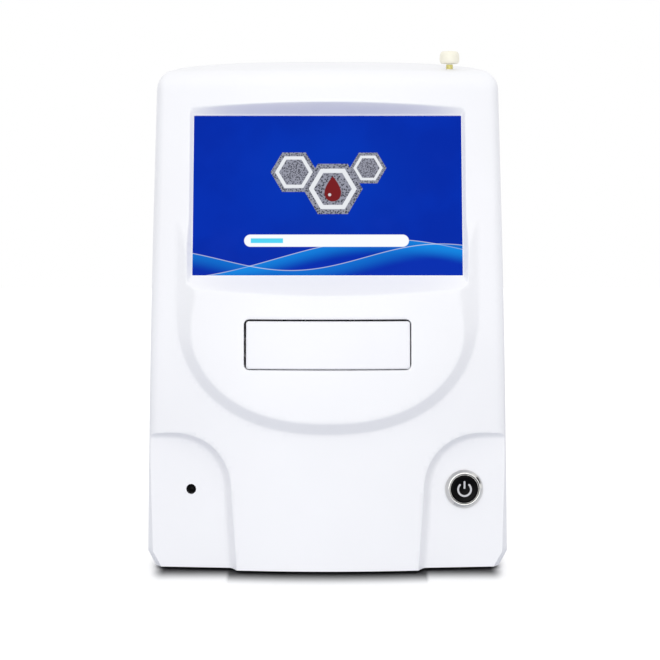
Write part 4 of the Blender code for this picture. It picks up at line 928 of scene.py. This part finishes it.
rear = {"sideSteps": 36, "acrossSteps": 56, "step": 0.0042}
fanField = {"count": 9, "pitch": 0.0062, "width": 0.0030, "length": 0.0520, "depth": 0.016, "field": 0.0285}
sideField = {"count": 7, "pitch": 0.0080, "width": 0.0030, "length": 0.0300, "depth": 0.020, "field": 0.2}
lid = {"halfWidth": 0.0460, "front": topFront + 0.0695, "length": 0.062, "gap": 0.0012}
lid["back"] = lid["front"] + lid["length"]
socketWindow = {"half": 0.0530, "high": 0.0110, "z": 0.0235, "corner": 0.0015}


def rectangleHole(shape, axes, middle, half, high, corner, where):
    first, second = axes
    ruleLines(shape, first, middle[0], (half - corner, half), where)
    ruleLines(shape, second, middle[1], (high - corner, high), where)

    def reach(place):
        return roundedReach(place[:, first] - middle[0], place[:, second] - middle[1], half, high, corner)

    score(shape, reach, where)
    place = points(shape)
    cutAway(shape, (reach(place) < 1e-6) & where(place))


def rearSkin():
    shape = casingSheet(backOutline, rear["sideSteps"], rear["acrossSteps"], rear["step"])
    seamGroove(shape, partingY + 0.0003, 0.0008)
    middle = (0.0, (lid["front"] + lid["back"]) / 2)
    half, high = lid["halfWidth"] + lid["gap"], lid["length"] / 2 + lid["gap"]
    onTop = lambda place: (place[:, 2] > casing["height"] - 0.0005) & (place[:, 1] < 0.1)
    rectangleHole(shape, (0, 1), middle, half, high, 0.0020, onTop)
    onBack = lambda place: (place[:, 1] > backY - 0.0005) & (place[:, 2] < 0.06)
    rectangleHole(shape, (0, 2), (0.0, socketWindow["z"]), socketWindow["half"], socketWindow["high"],
                  socketWindow["corner"], onBack)
    triangulated(shape)
    skin = thicken(newPiece("rearCoverSkin", shape, finishes["housing"]), casing["wall"])
    back = Matrix.Translation((0.0, backY + 0.006, 0.150)) @ Matrix.Rotation(math.pi / 2, 4, "X")
    cutters = [slotCutters("fanSlots", fanField, back)]
    for side in (-1, 1):
        turn = Matrix.Rotation(math.pi / 2, 4, "Z") @ Matrix.Rotation(math.pi / 2, 4, "X")
        start = Matrix.Translation((side * halfWidth - 0.010, 0.060, 0.085))
        cutters.append(slotCutters("sideSlots", sideField, start @ turn))
    return sharpen(carve(skin, *cutters))


dress(rearSkin(), "casing", "white_housing", "rear_cover")


# Frames that small pieces are built in

def facing(middle, side):
    # local Z points out of a pocket's floor
    normal = Vector((side * math.tan(pocket["yaw"]), -1.0, casing["lowerSlope"])).normalized()
    return Matrix.Translation(middle) @ normal.to_track_quat("Z", "Y").to_matrix().to_4x4()


windowFrame = Matrix.Translation((0.0, window["y"], window["middleZ"])) @ Matrix.Rotation(math.pi / 2 - tilt, 4, "X")
buttonFrame = facing(buttonPlace, 1)
lensFrame = facing(lensPlace, -1)


def lathe(profile, steps, place):
    # turns a closed profile of radius and height round local Z; points on the axis become poles
    shape = bmesh.new()
    rings = []
    for radius, height in profile:
        angles = [2 * math.pi * i / steps for i in range(steps if radius > 1e-7 else 1)]
        around = [(radius * math.cos(angle), radius * math.sin(angle), height) for angle in angles]
        rings.append([shape.verts.new(place @ Vector(point)) for point in around])
    fresh = []
    loop = rings + ([rings[0]] if len(rings[0]) > 1 else [])
    for near, far in zip(loop, loop[1:]):
        for i in range(steps):
            j = (i + 1) % steps
            if len(near) == 1:
                fresh.append(shape.faces.new((near[0], far[j], far[i])))
            elif len(far) == 1:
                fresh.append(shape.faces.new((near[i], near[j], far[0])))
            else:
                fresh.append(shape.faces.new((near[i], near[j], far[j], far[i])))
    bmesh.ops.recalc_face_normals(shape, faces=fresh)
    return shape


def curved(start, bend, end, steps=5):
    # points on a quarter-like curve from start to end, pulled to the bend
    found = []
    for i in range(steps + 1):
        t = i / steps
        found.append(tuple(start[k] * (1 - t) ** 2 + 2 * bend[k] * t * (1 - t) + end[k] * t * t for k in (0, 1)))
    return found


def slab(shape, outline, low, high, place, edge=0.0):
    # a flat plate between two heights, with a small slope round its upper edge
    middle = Vector((sum(x for x, y in outline), sum(y for x, y in outline))) / len(outline)
    rows = [[(x, y, low) for x, y in outline], [(x, y, high - edge) for x, y in outline]]
    if edge:
        inner = []
        for x, y in outline:
            inwards = (middle - Vector((x, y)))
            step = Vector((math.copysign(edge, inwards.x) if abs(inwards.x) > edge else 0.0,
                           math.copysign(edge, inwards.y) if abs(inwards.y) > edge else 0.0))
            inner.append((x + step.x, y + step.y, high))
        rows.append(inner)
    verts = [[shape.verts.new(place @ Vector(point)) for point in row] for row in rows]
    fresh = [shape.faces.new(verts[0][::-1]), shape.faces.new(verts[-1])] + bridge(shape, verts, True)
    bmesh.ops.recalc_face_normals(shape, faces=fresh)
    return fresh


def roundedOutline(half, high, corner, steps=6):
    found = []
    for x, y, start in ((half, -high, -90), (half, high, 0), (-half, high, 90), (-half, -high, 180)):
        middle = (x - math.copysign(corner, x), y - math.copysign(corner, y))
        found += [tuple(point) for point in arcPoints(*middle, corner, start, start + 90, steps)]
    return found


# Screen: glass slab whose face carries the start picture

screen = {"lip": 0.0012, "gap": 0.0003, "thickness": 0.0016, "margin": 0.004, "corner": 0.003,
          "ground": color(0, 46, 176), "deep": color(0, 42, 168), "light": color(0, 58, 188),
          "wave": color(20, 150, 240), "bar": color(250, 252, 255), "fill": color(84, 214, 246),
          "ring": color(232, 235, 240), "shade": color(58, 60, 70),
          "grain": color(150, 152, 166), "drop": color(120, 30, 34)}


def startPicture():
    made = Finish("startPicture")
    x, y, z = made.parts(made.place())
    up = (z - (window["middleZ"] - 0.0004)) * (1 / math.cos(tilt))
    soft = 0.00022

    def inside(reach, ease=soft):
        return 1.0 - reach.ramp(-ease, ease)

    def away(a, b):
        return (a * a + b * b) ** 0.5

    cloud = made.noise(22.0, 3.0)
    picture = made.mix(cloud.ramp(0.40, 0.62), screen["ground"], screen["deep"])
    glow = 1.0 - away(x, (up - 0.012) * 1.4).ramp(0.0, 0.075)
    picture = made.mix(glow * 0.55, picture, screen["light"])
    # two broad waves that rise to the right, each a bright crest fading below
    for rise, start, bend, level in ((0.0105, -0.030, 26.0, 0.85), (0.0070, 0.022, 38.0, 0.60)):
        crest = ((x - start) * bend).maths("SINE") * rise - 0.0370 + x * 0.02
        depth = crest - up
        band = depth.ramp(-0.0003, 0.0005) * (1.0 - depth.ramp(0.0004, 0.0100))
        picture = made.mix(band * level * 0.75, picture, screen["wave"])
        line = inside(abs(depth) - 0.00018)
        picture = made.mix(line * 0.6, picture, screen["bar"])
    # three six-sided rings round a drop
    for middleX, middleY, size, speckle in ((-0.0195, 0.0140, 0.0118, 260.0), (0.0030, 0.0040, 0.0150, 210.0),
                                            (0.0235, 0.0165, 0.0092, 320.0)):
        a, b = abs(x - middleX), abs(up - middleY)
        reach = (a * 0.866 + b * 0.5).most(b)
        body = made.mix(made.cells(speckle * 4).ramp(0.2, 0.6), screen["shade"], screen["grain"])
        picture = made.mix(inside(reach - size), picture, body)
        picture = made.mix(inside(abs(reach - size * 0.72) - size * 0.085), picture, screen["ring"])
    low = (up - (-0.0035)) * (1 / 0.0150)
    t = low.held()
    half = (t ** 0.5) * (1.0 - t) * 0.0125
    dropX = abs(x - 0.0030)
    mask = inside(dropX - half, 0.0003) * (low > 0.0) * (low < 1.0)
    picture = made.mix(mask, picture, screen["drop"])
    spark = inside(away(x - 0.0012, up - 0.0005) - 0.0009)
    picture = made.mix(spark * 0.8, picture, screen["ring"])
    # progress bar with a filled length
    barX = (abs(x + 0.0006) - 0.0439).most(0.0)
    pill = away(barX, up + 0.0268) - 0.0036
    picture = made.mix(inside(pill), picture, screen["bar"])
    fill = (abs(x + 0.0350) - 0.0093).most(abs(up + 0.0268) - 0.0014)
    picture = made.mix(inside(fill), picture, screen["fill"])
    smudge = made.noise(46.0, 4.0)
    made.shader.inputs["Specular IOR Level"].default_value = 0.03
    gloss = 0.10 + smudge.ramp(0.45, 0.8) * 0.12
    return made.set(BaseColor=color(0, 0, 0), Roughness=gloss, EmissionColor=picture, EmissionStrength=1.0)


def screenGlass():
    shape = bmesh.new()
    half, high = window["width"] / 2 + screen["margin"], window["height"] / 2 + screen["margin"]
    top = -(screen["lip"] + screen["gap"])
    outline = roundedOutline(half, high, screen["corner"])
    faces = slab(shape, outline, top - screen["thickness"], top, windowFrame, 0.0003)
    faces[1].material_index = 1
    piece = newPiece("screenGlass", shape, finishes["blackCap"], 20.0)
    piece.data.materials.append(startPicture().material)
    return piece


dress(screenGlass(), "casing", "screen_glass", "touch_glass")


# Drawer front: follows the proud panel's face, flush in its doorway

drawer = {"left": 0.0006, "top": 0.0004, "edge": 0.0006, "setback": 0.0125, "columns": 44, "rows": 14}


def drawerFront():
    shape = bmesh.new()
    half, high = doorway["width"] / 2, doorway["height"] / 2
    middleX, middleZ = drawer["left"] / 2, doorway["middleZ"] - drawer["top"] / 2
    half, high = half - drawer["left"] / 2, high - drawer["top"] / 2
    xs = np.linspace(-half, half, drawer["columns"] + 1) + middleX
    zs = np.linspace(-high, high, drawer["rows"] + 1) + middleZ
    rows = [[shape.verts.new((x, 0.0, z)) for x in xs] for z in zs]
    bridge(shape, rows)

    def reach(place):
        return roundedReach(place[:, 0] - middleX, place[:, 2] - middleZ, half, high, doorway["corner"])

    ruleLines(shape, 0, middleX, (half - 0.0024, half - 0.0010, half - 0.0003), None)
    ruleLines(shape, 2, middleZ, (high - 0.0024, high - 0.0010, high - 0.0003), None)
    scoreAll(shape, reach, (0.0, -drawer["edge"] / 2, -drawer["edge"]))
    place = points(shape)
    away = reach(place)
    surface = frontY + setback(place[:, 2]) - panelProud(place[:, 2]) + bow(place[:, 0])
    easing = np.clip(1 + away / drawer["edge"], 0.0, 1.0)
    for vert, y, ease in zip(shape.verts, surface, easing):
        vert.co.y = y + drawer["edge"] * ease * ease
    cutAway(shape, away > -1e-7)
    loose = [vert for vert in shape.verts if not vert.link_faces]
    bmesh.ops.delete(shape, geom=loose, context="VERTS")
    rim = boundary(shape, lambda middle: True)
    back = frontY + drawer["setback"]
    drawOut(shape, rim, lambda old: Vector((old.x, back, old.z)))
    bmesh.ops.contextual_create(shape, geom=boundary(shape, lambda middle: True))
    triangulated(shape)
    bmesh.ops.recalc_face_normals(shape, faces=shape.faces[:])
    return newPiece("drawerFront", shape, finishes["drawer"])


dress(drawerFront(), "drawer", "white_housing", "drawer_front")


# Power button

button = {"ring": 0.0110, "barrel": 0.0095, "bore": 0.0080, "rise": 0.0022, "barrelLength": 0.0150,
          "cap": 0.0079, "capHeight": 0.0065, "capTop": 0.0025, "dish": 0.0006, "symbolRadius": 0.00372,
          "stroke": 0.00105, "steps": 96}


def buttonRing():
    low, rise, outer = -button["barrelLength"], button["rise"], button["ring"]
    profile = [(button["bore"], low), (button["barrel"], low), (button["barrel"], 0.0003), (outer, 0.0003)]
    profile += curved((outer, 0.00042), (outer, 0.00056), (outer - 0.0001, 0.00066), 3)
    profile += curved((outer - 0.00160, rise - 0.00012), (outer - 0.00172, rise), (outer - 0.0019, rise), 4)
    profile += curved((0.00880, rise), (0.00866, rise), (0.00860, rise - 0.00012), 3)
    profile += [(0.00845, rise - 0.00050), (0.00825, rise - 0.00062), (button["bore"] + 0.00006, rise - 0.00062)]
    profile += [(button["bore"], rise - 0.0008)]
    return newPiece("powerRing", lathe(profile, button["steps"], buttonFrame), finishes["polished"], 30.0)


def buttonCap():
    top, radius = button["capTop"], button["cap"]
    profile = [(0.0, top - button["capHeight"]), (radius, top - button["capHeight"]), (radius, top - 0.0007)]
    profile += curved((radius, top - 0.0007), (radius, top), (radius - 0.0009, top), 5)[1:]
    for i in range(1, 7):
        share = i / 7
        profile.append(((radius - 0.0009) * (1 - share), top - button["dish"] * (1 - (1 - share) ** 2)))
    profile.append((0.0, top - button["dish"]))
    return newPiece("powerCap", lathe(profile, button["steps"], buttonFrame), finishes["blackCap"], 50.0)


def dishHeight(x, y):
    share = math.hypot(x, y) / (button["cap"] - 0.0009)
    return button["capTop"] - button["dish"] * (1 - share * share) + 0.00006


def powerSymbol():
    # the open ring and its bar, a thin inlay that follows the dish
    shape = bmesh.new()
    lines = []
    angles = np.radians(np.linspace(128, 412, 57))
    radius = button["symbolRadius"]
    lines.append([(radius * math.cos(a), radius * math.sin(a) - 0.0002) for a in angles])
    lines.append([(0.0, y) for y in np.linspace(0.0002, 0.0046, 12)])
    half = button["stroke"] / 2
    for line in lines:
        rows = []
        for i, (x, y) in enumerate(line):
            before, after = line[max(i - 1, 0)], line[min(i + 1, len(line) - 1)]
            along = Vector((after[0] - before[0], after[1] - before[1])).normalized()
            taper = 0.72 if i in (0, len(line) - 1) else 1.0
            row = []
            for side, drop in ((-1, 1), (-1, 0), (-0.6, -0.3), (0.6, -0.3), (1, 0), (1, 1)):
                px, py = x - along.y * half * side * taper, y + along.x * half * side * taper
                row.append(shape.verts.new(buttonFrame @ Vector((px, py, dishHeight(px, py) - drop * 0.00012))))
            rows.append(row)
        fresh = [shape.faces.new(rows[0]), shape.faces.new(rows[-1])] + bridge(shape, rows, True)
        bmesh.ops.recalc_face_normals(shape, faces=fresh)
    return newPiece("powerSymbol", shape, finishes["symbol"], 60.0)


dress(buttonRing(), "casing", "polished_ring", "power_ring")
dress(buttonCap(), "button", "black_cap", "power_cap")
dress(powerSymbol(), "button", "black_cap")


# Small round window

def smallWindow():
    profile = [(0.0, -0.0039), (0.0045, -0.0039), (0.0045, -0.0029), (0.00255, -0.0029), (0.00255, -0.00045)]
    profile += curved((0.00245, -0.0003), (0.0018, -0.0003), (0.0015, -0.0006), 5)
    profile += curved((0.0013, -0.0006), (0.0008, -0.0003), (0.0, -0.0003), 4)
    return newPiece("smallWindow", lathe(profile, 48, lensFrame), finishes["blackCap"], 50.0)


dress(smallWindow(), "casing", "black_cap", "indicator_lens")


# Pull-out pin: ivory head on a yellow stem

pin = {"neck": 0.0030, "headHeight": 0.0078, "head": 0.0058, "stem": 0.0020, "length": 0.080}
pin["surface"] = casing["height"] + float(crown(pinPlace.x, pinPlace.y))
pinFrame = Matrix.Translation((pinPlace.x, pinPlace.y, pin["surface"]))


def pinHead():
    low, top, radius = pin["neck"], pin["neck"] + pin["headHeight"], pin["head"]
    profile = [(0.0, low), (0.0024, low), (0.0026, low + 0.0003), (0.0040, low + 0.0002)]
    profile += curved((0.0046, low + 0.0002), (radius * 0.98, low + 0.0006), (radius, low + 0.0024), 7)
    profile += curved((radius, low + 0.0034), (radius * 0.99, top - 0.0002), (radius * 0.62, top - 0.0003), 9)
    profile += [(radius * 0.3, top - 0.0001), (0.0, top)]
    return newPiece("pinHead", lathe(profile, 72, pinFrame), finishes["ivory"], 60.0)


def pinStem():
    low, neck = -pin["length"], pin["neck"] - 0.0003
    stem = pin["stem"]
    profile = [(0.0, low), (stem * 0.4, low)]
    profile += curved((stem * 0.5, low), (stem * 0.8, low + 0.001), (stem, low + 0.004), 4)
    profile += [(stem, -0.0062), (stem * 0.88, -0.0058), (stem * 0.88, -0.0050), (stem, -0.0046), (stem, neck - 0.0004),
                (stem * 0.9, neck), (0.0, neck)]
    return newPiece("pinStem", lathe(profile, 40, pinFrame), finishes["yellow"], 50.0)


dress(pinHead(), "stylus", "ivory_knob", "stylus_head")
dress(pinStem(), "stylus", "yellow_stem", "stylus_shaft")


# Feet

foot = {"radius": 0.0090, "taper": 0.0015, "top": 0.0037, "x": 0.0795, "front": -0.0850, "rear": 0.0990}


def rubberFoot(name, x, y):
    radius, top = foot["radius"], foot["top"]
    sole = radius - foot["taper"]
    profile = [(0.0, 0.0006), (0.0030, 0.0006), (0.0034, 0.0), (0.0058, 0.0)]
    profile += curved((sole - 0.0004, 0.0), (sole, 0.0), (radius - 0.0012, 0.0006), 4)
    profile += [(radius - 0.0004, top - 0.0012), (radius, top - 0.0010), (radius, top), (0.0, top)]
    return newPiece(name, lathe(profile, 56, Matrix.Translation((x, y, 0.0))), finishes["rubber"], 40.0)


for end in ("front", "rear"):
    for side, word in ((-1, "left"), (1, "right")):
        piece = rubberFoot("foot" + end.title() + word.title(), side * foot["x"], foot[end])
        dress(piece, "casing", "rubber", f"foot_{end}_{word}")


# Stage, lamps and camera

def softLamp(name, place, aim, size, power, tint=(1.0, 1.0, 1.0)):
    lamp = bpy.data.lights.new(name, "AREA")
    lamp.shape = "RECTANGLE"
    lamp.size, lamp.size_y = size
    lamp.energy = power
    lamp.color = tint
    item = bpy.data.objects.new(name, lamp)
    item.location = place
    item.rotation_euler = (Vector(aim) - Vector(place)).to_track_quat("-Z", "Y").to_euler()
    bpy.context.scene.collection.objects.link(item)


def makeStage():
    shape = bmesh.new()
    wide = studio["floorHalf"]
    corners = [(-wide, -wide, 0.0), (wide, -wide, 0.0), (wide, wide, 0.0), (-wide, wide, 0.0)]
    shape.faces.new([shape.verts.new(corner) for corner in corners])
    made = Finish("paleFloorPaintedShadow")
    path = made.add("ShaderNodeLightPath", {}, {}, "Is Camera Ray")
    seen = path.most(made.beside(path, "Is Transmission Ray"))
    x, y, z = made.parts(made.place())
    # distance from the casing's foot: ahead of its bowed and stepped front, beside it and behind it; by it the floor
    # carries a painted contact shadow
    acrossX = x.most(-x)
    step = (acrossX - 0.054).ramp(0.0, 0.004) * studio["pocketStep"]
    ahead = frontY + (x * x / (2 * casing["bowRadius"])).most(step) - y
    beside = (acrossX - 0.093) * 4.0
    behind = (y - backY + 0.007) * 2.0
    away = (ahead.most(behind).most(0.0) ** 2 + beside.most(0.0) ** 2) ** 0.5
    # painted shadow: for camera rays the floor's colour runs from black at the foot to full over the shadow reach, and
    # its white glow beyond is darkened the same way
    shade = away.ramp(0.0, studio["shadow"]) * 0.99 + 0.01
    far = away.ramp(0.010, 0.060)
    base = made.mix(shade * (1 - far), color(0, 0, 0), studio["floor"])
    glow = made.mix(seen * shade * far, color(0, 0, 0), color(255, 255, 255))
    made.set(BaseColor=made.mix(seen, studio["bounce"], base), Roughness=0.7, EmissionColor=glow, EmissionStrength=1.0)
    newPiece("floor", shape, made)


def darkCard(name, x, low, high):
    # a dark card beside the object that only polished and glossy faces mirror
    shape = bmesh.new()
    corners = [(x, -1.6, low), (x, 1.0, low), (x, 1.0, high), (x, -1.6, high)]
    shape.faces.new([shape.verts.new(corner) for corner in corners])
    made = Finish("darkCard")
    card = newPiece(name, shape, made.set(BaseColor=(0.01, 0.011, 0.014, 1.0), Roughness=0.9))
    card.visible_camera = card.visible_diffuse = card.visible_shadow = False


def makeWorld():
    # soft light for the object, plain white for the camera and for what mirrors or lets through
    world = bpy.data.worlds.new("studio")
    bpy.context.scene.world = world
    world.use_nodes = True
    tree = world.node_tree
    tree.nodes.clear()

    def add(kind, **settings):
        node = tree.nodes.new(kind)
        for name, value in settings.items():
            setattr(node, name, value)
        return node

    path = add("ShaderNodeLightPath")
    seen, both = add("ShaderNodeMath", operation="MAXIMUM"), add("ShaderNodeMath", operation="MAXIMUM")
    level, tint = add("ShaderNodeMapRange"), add("ShaderNodeMix", data_type="RGBA")
    level.inputs["To Min"].default_value = studio["worldLevel"]
    tint.inputs[6].default_value = studio["worldColor"]
    tint.inputs[7].default_value = (1.0, 1.0, 1.0, 1.0)
    ground, out = add("ShaderNodeBackground"), add("ShaderNodeOutputWorld")
    pairs = [(path.outputs["Is Camera Ray"], seen.inputs[0]), (path.outputs["Is Glossy Ray"], seen.inputs[1]),
             (seen.outputs[0], both.inputs[0]), (path.outputs["Is Transmission Ray"], both.inputs[1]),
             (both.outputs[0], tint.inputs[0]), (both.outputs[0], level.inputs["Value"]),
             (tint.outputs[2], ground.inputs["Color"]), (level.outputs["Result"], ground.inputs["Strength"]),
             (ground.outputs[0], out.inputs[0])]
    for start, end in pairs:
        tree.links.new(start, end)


# the shadow and pocketStep entries shape the floor's painted contact shadow
studio = {"worldLevel": 0.88, "worldColor": (0.975, 0.98, 1.0, 1.0), "bounce": color(200, 203, 212),
          "floor": (0.95, 0.95, 0.955, 1.0), "floorHalf": 3.0, "shadow": 0.036, "pocketStep": 0.0150,
          "cardX": 1.9, "cardLow": 0.42, "cardHigh": 1.30}
makeStage()
for name, side in (("leftCard", -1), ("rightCard", 1)):
    darkCard(name, side * studio["cardX"], studio["cardLow"], studio["cardHigh"])
makeWorld()
softLamp("topLamp", (0.0, -0.6, 1.6), (0.0, 0.0, 0.15), (1.6, 1.2), 1.6, (1.0, 1.0, 1.0))
softLamp("frontLamp", (0.0, -2.0, 0.6), (0.0, 0.0, 0.12), (1.6, 1.0), 9.8, (1.0, 0.995, 0.965))
print("stage ready")

view = {"lens": 126.27, "sensor": 36.0, "x": 0.0014, "y": -1.425, "z": 0.230, "aimZ": 0.139, "aimFar": 1.30}
camera = bpy.data.cameras.new("camera")
camera.lens = view["lens"]
camera.sensor_width = view["sensor"]
viewer = bpy.data.objects.new("camera", camera)
viewer.location = (view["x"], view["y"], view["z"])
viewer.rotation_euler = (math.pi / 2 - math.atan((view["z"] - view["aimZ"]) / view["aimFar"]), 0.0, 0.0)
bpy.context.scene.collection.objects.link(viewer)
bpy.context.scene.camera = viewer
bpy.context.scene.view_settings.view_transform = "Standard"
